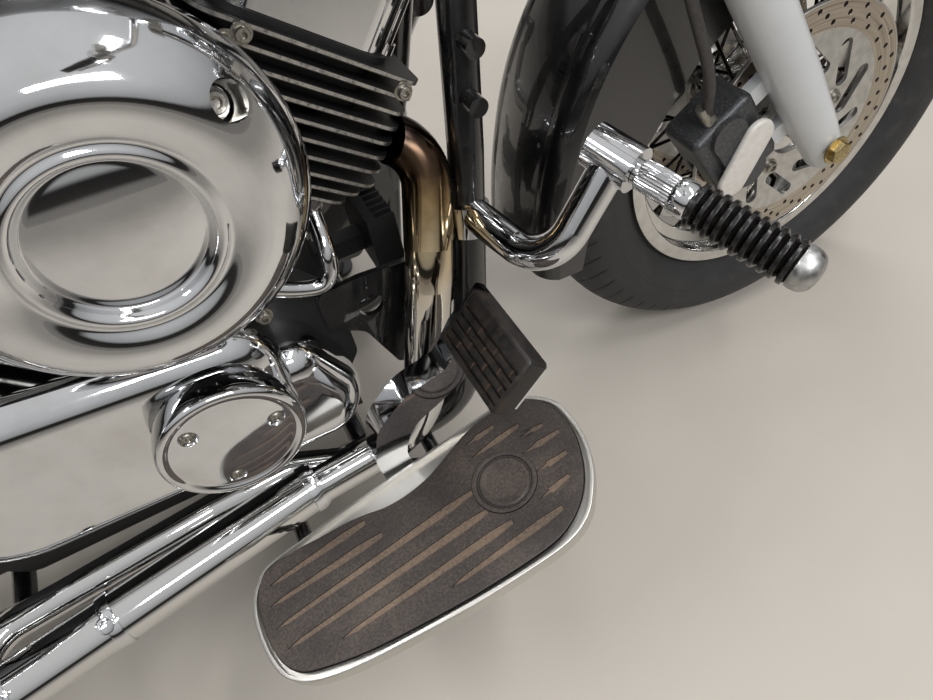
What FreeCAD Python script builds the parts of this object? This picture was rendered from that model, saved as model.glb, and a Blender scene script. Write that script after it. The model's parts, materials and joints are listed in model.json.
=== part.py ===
# Cruiser motorcycle with an air-cooled V-twin, spoked wheels and footboards, parked on its side stand.
# Every piece is modelled with the motorcycle upright: X forward from the rear axle, Y to the left,
# Z up from the ground, in millimetres. park() then leans the whole machine onto its stand.
import FreeCAD
import Part
import math
import os
from FreeCAD import Rotation, Vector

# Chassis layout
WHEELBASE = 1640.0
RAKE = 33.0
TRAIL = 132.0
LEAN = 10.0
SEAT_GAP = 0.3
RUNNING_GAP = 0.1

# Front wheel
FRONT_TYRE_R = 320.0
FRONT_TYRE_W = 130.0
FRONT_CROWN_R = 75.0
FRONT_RIM_R = 217.0
FRONT_RIM_W = 94.0
FRONT_BEAD_R = 203.0
FRONT_DISC_R = 149.0
FRONT_DISC_Y = 72.5
FRONT_HUB_W = 136.0
CALIPER_INNER_Y = 56.0
HOSE_R = 4.5
HOSE_BENDS = ((-224.0, 119.0, 236.0), (-178.0, 110.0, 142.0))

# Rear wheel
REAR_TYRE_R = 326.0
REAR_TYRE_W = 170.0
REAR_CROWN_R = 100.0
REAR_RIM_R = 206.0
REAR_RIM_W = 122.0
REAR_BEAD_R = 192.0
REAR_DISC_R = 141.0
REAR_DISC_Y = 86.0
REAR_HUB_W = 160.0

# Parts that both wheels share
AXLE_R = 10.0
HUB_R = 27.0
HUB_FLANGE_R = 44.0
HUB_FLANGE_W = 5.0
HUB_END_GAP = 1.5
SPOKE_R = 2.2
SPOKE_PAIRS = 10
SPOKE_LACING = 26.0
SPOKE_OFFSET = 3.6
SPOKE_BUTT = 22.0
NIPPLE_R = 3.2
NIPPLE_LENGTH = 18.0
RIM_WALL = 4.0
DISC_THICKNESS = 5.0
DISC_BAND = 34.0
DISC_BORE_R = 36.0
DISC_SEAT_R = 50.0
DISC_SEAT_THICKNESS = 8.0
DISC_SLOTS = 10

# Frame
DOWNTUBE_R = 17.0
BACKBONE_R = 24.0
BACKBONE_Z = 754.0
RAIL_R = 12.0
RAIL_Y = 112.0
FENDER_BOLT_XS = (75.0, 128.0)
TANK_RUBBER_XS = (1080.0, 800.0)
CRADLE_Y = 115.0
CRADLE_Z = 165.0
CROSS_TUBE_R = 12.0
CROSS_TUBE_XS = (620.0, 1010.0)
SEAT_TUBE_Z = 632.0
BRACKET_R = 9.0
ENGINE_PLATE_THICKNESS = 6.0
STAY_BOSSES = ((1219.0, 66.0, 572.0), (1211.0, 76.0, 527.0))
BRACKET_XS = (1066.0, 900.0)
LUG_R = 9.0
PIN_R = 7.0
PEDAL_OUTER_Y = 206.0
PEDAL_WIDTH = 28.0
PEDAL_PIVOT_BACK = 34.0
PEDAL_PIVOT_RISE = 24.0
SHIFT_Y = 196.0
SHIFT_HUB_W = 16.0
SHIFT_PIVOT_Z = 262.0
LEVER_HUB_R = 15.0
HEAD_Z = 792.0
HEAD_LENGTH = 156.0
HEAD_R = 29.0
PIVOT_X = 540.0
PIVOT_Z = 330.0
PLATE_Y = 100.0
PLATE_THICKNESS = 12.0

# Swingarm and shaft drive
ARM_Y = 125.0
SHAFT_TUBE_R = 30.0
ARM_TUBE_R = 20.0
PIVOT_TUBE_R = 27.0
DRIVE_CASE_R = 82.0
DRIVE_CASE_INNER_Y = 98.0
DRIVE_CASE_OUTER_Y = 176.0

# Engine: the two cylinders stand in a V over the crankshaft
CRANK_X = 912.0
CRANK_Z = 374.0
CYLINDER_ANGLE = 37.5
CASE_HALF_WIDTH = 92.0
DECK_HEIGHT = 132.0
BARREL_R = 58.0
BARREL_TOP = 300.0
FIN_COUNT = 10
FIN_PITCH = 13.8
FIN_THICKNESS = 4.0
FIN_FIRST = 172.0
INTAKE_FIN_END = 89.0
EXHAUST_FIN_END = 103.0
FIN_WIDTH = 172.0
FIN_CORNER_R = 20.0
FOOT_FINS = (140.0, 150.0, 160.0)
HEAD_COVER_HEIGHT = 62.0
HEAD_COVER_LENGTH = 148.0
HEAD_COVER_WIDTH = 150.0
COLUMN_R = 11.0
ROCKER_CAP_R = 24.0

# Covers on the engine's right and left sides
CLUTCH_X = 752.0
CLUTCH_Z = 386.0
CLUTCH_COVER_R = 108.0
CRANK_COVER_R = 64.0
CLUTCH_COVER_Y = 168.0
CRANK_COVER_Y = 203.0
LEFT_COVER_Y = 158.0
AIR_CLEANER_X = 931.0
AIR_CLEANER_Z = 609.5
AIR_CLEANER_R = 124.0
AIR_CLEANER_INNER_Y = 158.0
AIR_CLEANER_OUTER_Y = 240.0
AIR_DISH_R = 47.5
INTAKE_R = 21.0
INTAKE_UP = 225.0

# Exhaust
HEADER_R = 23.0
SHIELD_R = 27.0
INNER_PIPE_R = 16.0
HEADER_BEND_R = 80.0
MUFFLER_R = 45.0
MUFFLER_BORE_R = 22.0
MUFFLER_END_X = -330.0
LOWER_MUFFLER_Z = 222.0
UPPER_MUFFLER_Z = 330.0
MUFFLER_Y = 232.0

# Fuel tank, seats and fenders
TANK_WALL_CLEARANCE = 4.0
CONSOLE_R = 52.0
SEAT_JOINT_X = 332.0
FENDER_SHEET = 2.5
FRONT_FENDER_R = 352.0
FRONT_FENDER_HALF_WIDTH = 78.0
FRONT_FENDER_START = 50.0
FRONT_FLARE_START = 164.0
FRONT_FLARE_R = 700.0
FRONT_FLARE_TURN = 13.8
FRONT_LIP = ((49, 330, 20), (62, 300, 60), (84, 246, 60), (110, 226, 80), (139, 221, 60), (167, 241, 60), (182, 296, 60), (204, 352, 0))
REAR_FENDER_R = REAR_TYRE_R + 46.0
REAR_FENDER_START = 36.0
REAR_FENDER_END = 194.0
REAR_LIP = ((35, 72, 0), (60, 104, 60), (90, 118, 80), (125, 110, 80), (160, 80, 60), (195, 42, 0))
REAR_FENDER_HALF_WIDTH = 98.0
RAIL_THICKNESS = 8.0
LUGGAGE_HOLES = ((250.0, 597.0), (60.0, 594.0))
LUGGAGE_HOLE_R = 4.2

# Steering
FORK_Y = 110.0
FORK_LOWER_R = 28.0
FORK_TUBE_R = 20.5
FORK_LOWER_LENGTH = 340.0
FORK_FOOT_DROP = 32.0
FENDER_BOSSES = (252.0, 304.0)
UPPER_CLAMP_Z = 884.0
LOWER_CLAMP_Z = 698.0
CLAMP_THICKNESS = 30.0
STEM_R = 15.0
BAR_R = 12.7
BAR_SHAPE = ((18.5, 250.0, 39.4), (-67.5, 340.0, 51.4), (-207.5, 440.0, 29.4))
GRIP_R = 17.5
GRIP_LENGTH = 125.0
HEADLIGHT_R = 92.0
HEADLIGHT_X = WHEELBASE - 212.0
HEADLIGHT_Z = 853.0
INDICATOR_R = 27.0
INDICATOR_Y = 190.0

# Footboards, brake pedal and highway pegs, all on the rider's side of the engine
BOARD_FRONT_X = 1197.0
BOARD_Y = 276.0
BOARD_FRONT_Z = 262.0
BOARD_CENTRE = (175.0, 6.0)
BOARD_SIZE = (366.0, 168.0)
TRAY_OUTLINE = ((-8, -62, 26), (-8, 20, 50), (44, 84, 46), (110, 91, 120), (318, 66, 40), (358, 4, 60), (352, -76, 30))
PAD_OUTLINE = ((0, -54, 20), (0, 14, 44), (48, 78, 42), (110, 85, 120), (312, 58, 34), (349, 2, 50), (343, -68, 24),
               (288, -67, 40), (178, -38, 80), (108, -59, 40))
PAD_BOSS = (85.0, 3.0, 31.0)
BOARD_PITCH = 10.0
BOARD_YAW = 2.8
BOARD_THICKNESS = 12.0
BOARD_PAD_THICKNESS = 7.0
BOARD_RIM = 5.0
PEDAL_PAD_WIDTH = 96.0
PEDAL_PAD_HEIGHT = 56.0
PEDAL_PAD_THICKNESS = 20.0
GUARD_R = 16.0
GUARD_BEND_R = 44.0
GUARD_START = (1190.0, -99.0, 424.0)
GUARD_BEND = (1216.0, -205.0, 411.0)
GUARD_TOP = (1283.0, -201.0, 498.0)
SLEEVE_ENDS = ((1278.0, -181.0, 502.0), (1292.0, -221.0, 493.0))
PEG_END = (1348.0, -362.0, 460.0)
PEG_STEM_R = 11.0
PEG_RUBBER_R = 16.5
PEG_RING_R = 19.0
PEG_RUBBER_START = 52.0
PEG_CAP = 14.0
PEG_RINGS = 11

# Side stand
STAND_PIVOT_X = 1010.0
STAND_PIVOT_Y = 148.0
STAND_PIVOT_Z = 150.0
STAND_FOOT_X = 1106.0
STAND_FOOT_Y = 330.0
STAND_TUBE_R = 11.0
STAND_FOOT_R = 24.0

FORWARD = Vector(1, 0, 0)
LEFT = Vector(0, 1, 0)
UP = Vector(0, 0, 1)
STEERING_UP = Vector(-math.sin(math.radians(RAKE)), 0, math.cos(math.radians(RAKE)))
STEERING_GROUND = Vector(WHEELBASE + TRAIL, 0, 0)
FRONT_AXLE = Vector(WHEELBASE, 0, FRONT_TYRE_R)
REAR_AXLE = Vector(0, 0, REAR_TYRE_R)
CRANK = Vector(CRANK_X, 0, CRANK_Z)


def steering_point(height):
    """The point of the steering axis at a height above the ground."""
    return STEERING_GROUND + STEERING_UP * (height / STEERING_UP.z)


def fork_point(along, side=0.0):
    """A point of a fork leg, measured along it from the axle."""
    return FRONT_AXLE + STEERING_UP * along + LEFT * (FORK_Y * side)


def fork_level(height):
    """How far along a fork leg the plane lies that crosses the steering axis squarely at a height."""
    return (steering_point(height) - FRONT_AXLE).dot(STEERING_UP)


def mirrored(shape):
    """The same piece on the other side of the machine."""
    return shape.mirror(Vector(0, 0, 0), LEFT)


def both_sides(shape):
    return Part.makeCompound([shape, mirrored(shape)])


def fused(shapes):
    return shapes[0].multiFuse(shapes[1:]).removeSplitter() if len(shapes) > 1 else shapes[0]


def rod(start, end, radius):
    """A round bar from one point to another."""
    return Part.makeCylinder(radius, (end - start).Length, start, end - start)


def ring(centre, direction, outer, inner, length):
    """A round sleeve with its middle at centre."""
    start = centre - Vector(direction).normalize() * (length / 2)
    body = Part.makeCylinder(outer, length, start, direction)
    return body.cut(Part.makeCylinder(inner, length, start, direction))


def path(points, bend):
    """Straight runs through the points, each inner corner turned by an arc of radius bend."""
    edges = []
    start = points[0]
    for before, corner, after in zip(points, points[1:], points[2:]):
        inward = (before - corner).normalize()
        outward = (after - corner).normalize()
        half = inward.getAngle(outward) / 2
        setback = min(bend / math.tan(half), 0.48 * (before - corner).Length, 0.48 * (after - corner).Length)
        radius = setback * math.tan(half)
        middle = (inward + outward).normalize()
        enters = corner + inward * setback
        leaves = corner + outward * setback
        crest = corner + middle * (radius / math.sin(half) - radius)
        edges.append(Part.LineSegment(start, enters).toShape())
        edges.append(Part.Arc(enters, crest, leaves).toShape())
        start = leaves
    edges.append(Part.LineSegment(start, points[-1]).toShape())
    return Part.Wire(edges)


def tube(points, radius, bend):
    """A round tube bent along the points."""
    section = Part.Wire(Part.Circle(points[0], points[1] - points[0], radius).toShape())
    return path(points, bend).makePipeShell([section], True, False)


def outline(corners, place):
    """A closed wire through corners (u, v, radius), each rounded by its radius.
    place turns a (u, v) of the drawing into a point in space."""
    count = len(corners)
    arcs = []
    for index, (u, v, radius) in enumerate(corners):
        here = Vector(u, v, 0)
        before = Vector(*corners[index - 1][:2], 0)
        after = Vector(*corners[(index + 1) % count][:2], 0)
        if radius == 0:
            arcs.append((here, None, here))
            continue
        inward = (before - here).normalize()
        outward = (after - here).normalize()
        half = inward.getAngle(outward) / 2
        setback = radius / math.tan(half)
        middle = (inward + outward).normalize()
        arcs.append((here + inward * setback, here + middle * (radius / math.sin(half) - radius), here + outward * setback))
    edges = []
    for index, (enters, crest, leaves) in enumerate(arcs):
        if crest is not None:
            edges.append(Part.Arc(*[place(p.x, p.y) for p in (enters, crest, leaves)]).toShape())
        following = arcs[(index + 1) % count][0]
        if (following - leaves).Length > 1e-6:
            edges.append(Part.LineSegment(place(leaves.x, leaves.y), place(following.x, following.y)).toShape())
    return Part.Wire(edges)


def plate(corners, place, extrusion):
    """A rounded outline given a thickness."""
    return Part.Face(outline(corners, place)).extrude(extrusion)


def side_view(y):
    """Drawings in the machine's side view, at a distance y to the left."""
    return lambda x, z: Vector(x, y, z)


def turned(corners, centre, axis, radial, angle=360.0):
    """A closed section (along the axis, away from it, radius) turned about an axis through centre."""
    along = Vector(axis).normalize()
    away = Vector(radial).normalize()
    face = Part.Face(outline(corners, lambda a, r: centre + along * a + away * r))
    return face.revolve(centre, along, angle)


def filleted(shape, radius, keep):
    """The shape with the edges that keep() picks rounded."""
    edges = [edge for edge in shape.Edges if keep(edge)]
    return shape.makeFillet(radius, edges)


def tyre(axle, radius, width, crown_radius, bead_radius, rim_radius, rim_width):
    """A tyre: a round crown between bulged sidewalls, seated on the rim."""
    half = width / 2
    bead = rim_width / 2 - 7.0 - SEAT_GAP
    shoulder = half * 0.86
    drop = crown_radius - math.sqrt(crown_radius ** 2 - shoulder ** 2)
    belly = bead_radius + (radius - bead_radius) * 0.5

    def at(y, r):
        return Vector(0, y, r)
    top, low = radius - drop, rim_radius + 2.0
    edges = [
        Part.Arc(at(-shoulder, top), at(0, radius), at(shoulder, top)),
        Part.Arc(at(shoulder, top), at(half, belly), at(bead, low)),
        Part.LineSegment(at(bead, low), at(bead, bead_radius)),
        Part.LineSegment(at(bead, bead_radius), at(-bead, bead_radius)),
        Part.LineSegment(at(-bead, bead_radius), at(-bead, low)),
        Part.Arc(at(-bead, low), at(-half, belly), at(-shoulder, top)),
    ]
    face = Part.Face(Part.Wire([edge.toShape() for edge in edges]))
    body = face.revolve(Vector(0, 0, 0), LEFT, 360)
    body.translate(axle)
    return body


def spoked_wheel(axle, rim_radius, rim_width, bead_radius, hub_width, disc_y, disc_sides):
    """Rolled rim with a drop centre, laced by crossed wire spokes to a flanged hub with a seat for each disc."""
    half = rim_width / 2
    seat = bead_radius - SEAT_GAP
    well = bead_radius - 16.0
    well_y, shelf_y = half * 0.32, half - 24
    inward = RIM_WALL * math.tan(math.atan2(seat - well, shelf_y - well_y) / 2)
    rim_section = [
        (-half, rim_radius, 2.0), (-half + 5, rim_radius, 1.5), (-half + 7, seat, 0), (-shelf_y, seat, 3.0),
        (-well_y, well, 4.0), (well_y, well, 4.0), (shelf_y, seat, 3.0), (half - 7, seat, 0),
        (half - 5, rim_radius, 1.5), (half, rim_radius, 2.0), (half, seat - RIM_WALL, 3.0),
        (shelf_y + inward, seat - RIM_WALL, 3.0), (well_y + inward, well - RIM_WALL, 4.0),
        (-well_y - inward, well - RIM_WALL, 4.0), (-shelf_y - inward, seat - RIM_WALL, 3.0), (-half, seat - RIM_WALL, 3.0),
    ]
    rim = turned(rim_section, Vector(0, 0, 0), LEFT, UP)
    flange = hub_width / 2 - 28.0
    hub_half = hub_width / 2
    hub_section = [
        (-hub_half, 0, 0), (-hub_half, HUB_R - 3, 2.0), (-flange - HUB_FLANGE_W, HUB_R, 2.0),
        (-flange - HUB_FLANGE_W, HUB_FLANGE_R, 1.5), (-flange, HUB_FLANGE_R, 1.5), (-flange, HUB_R, 4.0),
        (0, HUB_R - 5, 30.0), (flange, HUB_R, 4.0), (flange, HUB_FLANGE_R, 1.5),
        (flange + HUB_FLANGE_W, HUB_FLANGE_R, 1.5), (flange + HUB_FLANGE_W, HUB_R, 2.0),
        (hub_half, HUB_R - 3, 2.0), (hub_half, 0, 0),
    ]
    pieces = [turned(hub_section, Vector(0, 0, 0), LEFT, UP)]
    step = 360.0 / SPOKE_PAIRS / 2
    for index in range(SPOKE_PAIRS * 2):
        for side in (-1, 1):
            lean = SPOKE_LACING * (1 if index % 2 else -1)
            at_rim = math.radians(index * step + (step / 2 if side > 0 else 0))
            at_hub = at_rim + math.radians(lean * 2)
            hub_hole = HUB_FLANGE_R - 5.0
            offset = SPOKE_OFFSET if index % 2 else -SPOKE_OFFSET
            foot_y, tip_y = side * (flange + HUB_FLANGE_W / 2 + offset), side * (8.0 + offset / 3)
            foot = Vector(math.cos(at_hub) * hub_hole, foot_y, math.sin(at_hub) * hub_hole)
            tip = Vector(math.cos(at_rim) * (well - RIM_WALL / 2), tip_y, math.sin(at_rim) * (well - RIM_WALL / 2))
            along = (tip - foot).normalize()
            pieces.append(rod(foot, tip, SPOKE_R))
            pieces.append(rod(foot, foot + along * SPOKE_BUTT, SPOKE_R + 0.4))
            pieces.append(rod(tip - along * NIPPLE_LENGTH, tip, NIPPLE_R))
    seat_y = disc_seat(disc_y)
    for side in disc_sides:
        pieces.append(rod(Vector(0, side * hub_half / 2, 0), Vector(0, side * seat_y, 0), HUB_R - 3))
        pieces.append(rod(Vector(0, side * (seat_y - DISC_SEAT_THICKNESS), 0), Vector(0, side * seat_y, 0), DISC_SEAT_R))
    body = rim.multiFuse(pieces)
    body = body.cut(rod(LEFT * -disc_y, LEFT * disc_y, AXLE_R + RUNNING_GAP))
    body.translate(axle)
    return body


def disc_seat(disc_y):
    """Where a hub ends against its disc."""
    return disc_y - DISC_THICKNESS / 2 - SEAT_GAP


def brake_disc(axle, y, radius):
    """A flat disc: the swept band, and a carrier cut by a ring of slanted slots."""
    base = axle + LEFT * (y - DISC_THICKNESS / 2)
    disc = Part.makeCylinder(radius, DISC_THICKNESS, base, LEFT)
    disc = disc.cut(Part.makeCylinder(DISC_BORE_R, DISC_THICKNESS, base, LEFT))
    inner, outer = DISC_BORE_R + 30.0, radius - DISC_BAND
    slots = []
    for index in range(DISC_SLOTS):
        corners = [(inner, -5, 4.5), (outer, 12, 4.5), (outer, 27, 4.5), (inner, 6, 4.5)]
        slot = plate(corners, lambda u, v: base + Vector(u, 0, v), LEFT * DISC_THICKNESS)
        slot.rotate(axle, LEFT, index * 360.0 / DISC_SLOTS)
        slots.append(slot)
    return disc.cut(Part.makeCompound(slots))


def cylinder_point(side, up, along, y=0.0):
    """A point of a cylinder: up its axis from the crankshaft, and along its fins away from the V.
    side is 1 for the front cylinder and -1 for the rear one."""
    angle = math.radians(CYLINDER_ANGLE)
    x = side * (up * math.sin(angle) + along * math.cos(angle))
    z = up * math.cos(angle) - along * math.sin(angle)
    return CRANK + Vector(x, y, z)


def cylinder_axis(side):
    return (cylinder_point(side, 1.0, 0.0) - CRANK).normalize()


def fin_slab(side, up, length, width, height, corner, shift=0.0):
    """A rounded slab square to a cylinder's axis, its middle shifted towards the exhaust port."""
    low, high, half_w = shift - length / 2, shift + length / 2, width / 2
    corners = [(low, -half_w, corner), (high, -half_w, corner), (high, half_w, corner), (low, half_w, corner)]
    return plate(corners, lambda a, y: cylinder_point(side, up, a, y), cylinder_axis(side) * height)


def finned_cylinder(side):
    """Barrel and head with cooling fins, cast as one from the deck to the rocker cover's joint."""
    barrel = rod(cylinder_point(side, DECK_HEIGHT + SEAT_GAP, 0), cylinder_point(side, BARREL_TOP, 0), BARREL_R)
    length = INTAKE_FIN_END + EXHAUST_FIN_END
    shift = (EXHAUST_FIN_END - INTAKE_FIN_END) / 2
    pieces = []
    for index in range(FIN_COUNT):
        shrink = 26.0 * max(0, 2 - index) / 2
        up = FIN_FIRST + index * FIN_PITCH
        pieces.append(fin_slab(side, up, length - shrink, FIN_WIDTH - shrink, FIN_THICKNESS, FIN_CORNER_R, shift))
    for up in FOOT_FINS:
        pieces.append(fin_slab(side, up, 2 * BARREL_R + 14, 2 * BARREL_R + 14, FIN_THICKNESS, 24.0))
    head_base = FIN_FIRST + 6 * FIN_PITCH
    pieces.append(fin_slab(side, head_base, length - 54, FIN_WIDTH - 36, BARREL_TOP - head_base, 24.0))
    top = FIN_FIRST + (FIN_COUNT - 1) * FIN_PITCH
    pieces.append(fin_slab(side, top, HEAD_COVER_LENGTH + 6, HEAD_COVER_WIDTH + 6, BARREL_TOP - top + 6, 30.0))
    return barrel.multiFuse(pieces).removeSplitter()


def rocker_cover(side):
    """Chromed rocker cover on a head, with rounded top edges."""
    base = BARREL_TOP + 6 + SEAT_GAP
    body = fin_slab(side, base, HEAD_COVER_LENGTH, HEAD_COVER_WIDTH, HEAD_COVER_HEIGHT, 30.0)
    top = cylinder_point(side, base + HEAD_COVER_HEIGHT, 0)
    axis = cylinder_axis(side)
    body = filleted(body, 16.0, lambda edge: all(abs((v.Point - top).dot(axis)) < 0.01 for v in edge.Vertexes))
    along, across = HEAD_COVER_LENGTH / 2 - 6, HEAD_COVER_WIDTH / 2 - 26
    columns = []
    for a, y in ((along, across), (along, -across), (-along, across), (-along, -across)):
        foot, head = cylinder_point(side, base, a, y), cylinder_point(side, base + HEAD_COVER_HEIGHT - 8, a, y)
        columns.append(rod(foot, head, COLUMN_R))
        columns.append(rod(foot, foot + axis * 9, COLUMN_R + 3))
    for y in (-1, 1):
        cap = cylinder_point(side, base + HEAD_COVER_HEIGHT / 2, 0, y * (HEAD_COVER_WIDTH / 2 - 4))
        columns.append(rod(cap, cap + LEFT * (y * 8), ROCKER_CAP_R))
    return body.multiFuse(columns).removeSplitter()


def crankcase():
    """Crankcase and gearbox in one casting, its two decks square to the cylinders."""
    corners = [
        (1046, 300, 20), (1046, 400, 20), (1004, 452, 0), (930, 508, 0), (894, 508, 0), (820, 452, 0), (778, 414, 0),
        (640, 414, 30), (596, 372, 20), (596, 262, 20), (650, 196, 24), (975, 196, 30),
    ]
    body = plate(corners, side_view(-CASE_HALF_WIDTH), LEFT * (2 * CASE_HALF_WIDTH))
    decks = []
    for side in (1, -1):
        decks.append(fin_slab(side, 60.0, 136, 132, DECK_HEIGHT - 60.0, 30.0))
    foot_z = CRADLE_Z + CROSS_TUBE_R + SEAT_GAP
    for x in CROSS_TUBE_XS:
        decks.append(Part.makeBox(44, 120, 230 - foot_z, Vector(x - 22, -60, foot_z)))
    body = body.multiFuse(decks).removeSplitter()
    return body


def blob(corners, inner_y, outer_y, side, edge_radius):
    """A rounded cover on the engine's side, from its joint out to a domed face."""
    start, end = side * inner_y, side * outer_y
    body = plate(corners, side_view(start), LEFT * (end - start))
    return filleted(body, edge_radius, lambda edge: all(abs(v.Point.y - end) < 0.01 for v in edge.Vertexes))


def clutch_cover():
    """Chromed right-hand crankcase cover: a long oval over clutch and crankshaft, with a nose at the front."""
    r = CLUTCH_COVER_R
    corners = [
        (CLUTCH_X - r, CLUTCH_Z - 92, 88), (CRANK_X + 66, CRANK_Z - 92, 60), (CRANK_X + 66, CRANK_Z + 70, 60),
        (CLUTCH_X - r, CLUTCH_Z + 96, 88),
    ]
    body = blob(corners, CASE_HALF_WIDTH + SEAT_GAP, CLUTCH_COVER_Y, -1, 30.0)
    nose = [(900, 254, 20), (1012, 250, 40), (1040, 300, 50), (1000, 384, 40), (900, 392, 20)]
    lobe = blob(nose, CASE_HALF_WIDTH + SEAT_GAP, CLUTCH_COVER_Y - 16, -1, 28.0)
    return body.fuse(lobe).removeSplitter()


def crank_cover():
    """Round chromed cover over the crankshaft's end, its rim proud of a dished face."""
    r = CRANK_COVER_R
    length = CRANK_COVER_Y - CLUTCH_COVER_Y - SEAT_GAP
    section = [(0, 0, 0), (0, r - 2, 0), (length - 4, r, 3), (length, r - 3, 2), (length, r - 7, 2), (length - 5, r - 12, 4), (length - 2, 0, 0)]
    base = Vector(CRANK_X, -CLUTCH_COVER_Y - SEAT_GAP, CRANK_Z)
    body = turned(section, base, -LEFT, UP)
    for angle in (12, 132, 252):
        a = math.radians(angle)
        spot = base + Vector(math.cos(a) * 42, -length, math.sin(a) * 42)
        body = body.cut(Part.makeSphere(9.5, spot - LEFT * 2))
    return body


def left_cover():
    """Chromed generator cover on the left, with the gear housing's cover behind it."""
    corners = [
        (CLUTCH_X - 120, CLUTCH_Z - 84, 60), (CRANK_X + 108, CRANK_Z - 100, 80), (CRANK_X + 108, CRANK_Z + 92, 80),
        (CLUTCH_X - 120, CLUTCH_Z + 20, 40),
    ]
    body = blob(corners, CASE_HALF_WIDTH + SEAT_GAP, LEFT_COVER_Y - 22, 1, 18.0)
    dome = turned([(0, 0, 0), (0, 80, 0), (14, 80, 8), (22, 60, 10), (22, 0, 0)],
                  Vector(CRANK_X, LEFT_COVER_Y - 22, CRANK_Z), LEFT, UP)
    return body.fuse(dome).removeSplitter()


def air_cleaner():
    """Drum-shaped air cleaner: a rounded outer ring round a concave dish, on a duct between the cylinders."""
    depth = AIR_CLEANER_OUTER_Y - AIR_CLEANER_INNER_Y
    r = AIR_CLEANER_R
    section = [
        (0, 0, 0), (0, r - 12, 6), (16, r - 2, 16), (depth - 36, r, 26), (depth, r - 26, 30), (depth - 3, AIR_DISH_R + 10, 6),
        (depth - 15, AIR_DISH_R - 2, 5), (depth - 12, 0, 0),
    ]
    body = turned(section, Vector(AIR_CLEANER_X, -AIR_CLEANER_INNER_Y, AIR_CLEANER_Z), -LEFT, UP)
    duct = Part.makeCylinder(38, AIR_CLEANER_INNER_Y - 58, Vector(CRANK_X + 8, -AIR_CLEANER_INNER_Y, AIR_CLEANER_Z + 6), LEFT)
    return body.fuse(duct).removeSplitter()


def carburettors():
    """Pair of carburettors in the V, with an intake stub to each cylinder head."""
    body = Part.makeBox(96, 100, 74, Vector(CRANK_X - 48, -57.7, AIR_CLEANER_Z - 30))
    body = filleted(body, 12.0, lambda edge: True)
    bowls = [Part.makeCylinder(24, 40, Vector(CRANK_X, y, AIR_CLEANER_Z - 66), UP) for y in (-28, 14)]
    stubs = []
    for side in (-1, 1):
        port = cylinder_point(side, INTAKE_UP, -INTAKE_FIN_END - SEAT_GAP)
        stubs.append(rod(port, cylinder_point(side, INTAKE_UP, -INTAKE_FIN_END - 52), INTAKE_R))
    return body.multiFuse(bowls + stubs).removeSplitter()


def muffler(z, start_x):
    """A straight megaphone muffler with a slash-cut open end."""
    length = start_x - MUFFLER_END_X
    section = [(0, 0, 0), (0, SHIELD_R + 2, 3), (70, MUFFLER_R, 60), (length, MUFFLER_R, 0), (length, 0, 0)]
    base = Vector(start_x, -MUFFLER_Y, z)
    body = turned(section, base, -FORWARD, UP)
    body = body.cut(Part.makeCylinder(MUFFLER_BORE_R, 120, base - FORWARD * length, FORWARD))
    slash = Part.makeBox(200, 200, 300, Vector(-200, -100, -150))
    slash.rotate(Vector(0, 0, 0), LEFT, -38)
    slash.translate(Vector(MUFFLER_END_X + 34, -MUFFLER_Y, z))
    return body.cut(slash)


def port_shadow(side):
    """All that lies inside the plane of a cylinder's fin ends, where its exhaust pipe stops."""
    return fin_slab(side, 150.0, 2 * (EXHAUST_FIN_END + SEAT_GAP), 300.0, 210.0, 0)


def front_exhaust():
    """Header from the front cylinder's port down past the frame, then back under the engine to its muffler."""
    port = cylinder_point(1, 240, EXHAUST_FIN_END - 22, -50)
    header = [port, Vector(1166, -83, 488), Vector(1132, -129, 403), Vector(1080, -144, 200), Vector(940, -152, 197),
              Vector(600, -216, 205)]
    muffler_start = 540.0
    run = header + [Vector(muffler_start - 10, -MUFFLER_Y, LOWER_MUFFLER_Z)]
    pipe = tube(run, HEADER_R, HEADER_BEND_R).cut(port_shadow(1))
    shield = rod(Vector(949, -149.3, 196.9), Vector(610, -214, 204.8), SHIELD_R)
    inner = tube([Vector(1000, -148, 199), Vector(930, -126, 212), Vector(841, -130, 211), Vector(628, -155, 216),
                  Vector(548, -228, 222)], INNER_PIPE_R, 40.0)
    body = pipe.multiFuse([shield, inner, muffler(LOWER_MUFFLER_Z, muffler_start)]).removeSplitter()
    return body


def rear_exhaust():
    """Header from the rear cylinder's port, out and back to the upper muffler, with the balance pipe below."""
    port = cylinder_point(-1, 286, EXHAUST_FIN_END - 22, -44)
    muffler_start = 440.0
    run = [port, Vector(640, -54, 528), Vector(630, -130, 486), Vector(600, -206, 410),
           Vector(540, -MUFFLER_Y, 342), Vector(muffler_start - 10, -MUFFLER_Y, UPPER_MUFFLER_Z)]
    pipe = tube(run, HEADER_R, 60.0).cut(port_shadow(-1))
    return pipe.multiFuse([muffler(UPPER_MUFFLER_Z, muffler_start)]).removeSplitter()


def head_tube():
    centre = steering_point(HEAD_Z)
    return Part.makeCylinder(HEAD_R, HEAD_LENGTH, centre - STEERING_UP * (HEAD_LENGTH / 2), STEERING_UP)


def downtube(side, radius):
    """One side's downtube and cradle tube, bent from a single length."""
    y = side * CRADLE_Y
    head_low = steering_point(HEAD_Z) - STEERING_UP * (HEAD_LENGTH / 2 - 24)
    points = [
        head_low + LEFT * (side * 10), Vector(1232, side * 52, 640), Vector(1203, side * 86, 480), Vector(1172, y, 330),
        Vector(1140, y, CRADLE_Z), Vector(560, y, CRADLE_Z), Vector(556, side * (PLATE_Y + 12), 260),
    ]
    return tube(points, radius, 60.0)


def backbone(radius):
    """The tube over the engine, from the head tube down to the pivot plates' cross tube."""
    points = [steering_point(HEAD_Z) - STEERING_UP * 6, Vector(1160, 0, BACKBONE_Z), Vector(700, 0, BACKBONE_Z), Vector(560, 0, SEAT_TUBE_Z)]
    return tube(points, radius, 90.0)


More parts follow.
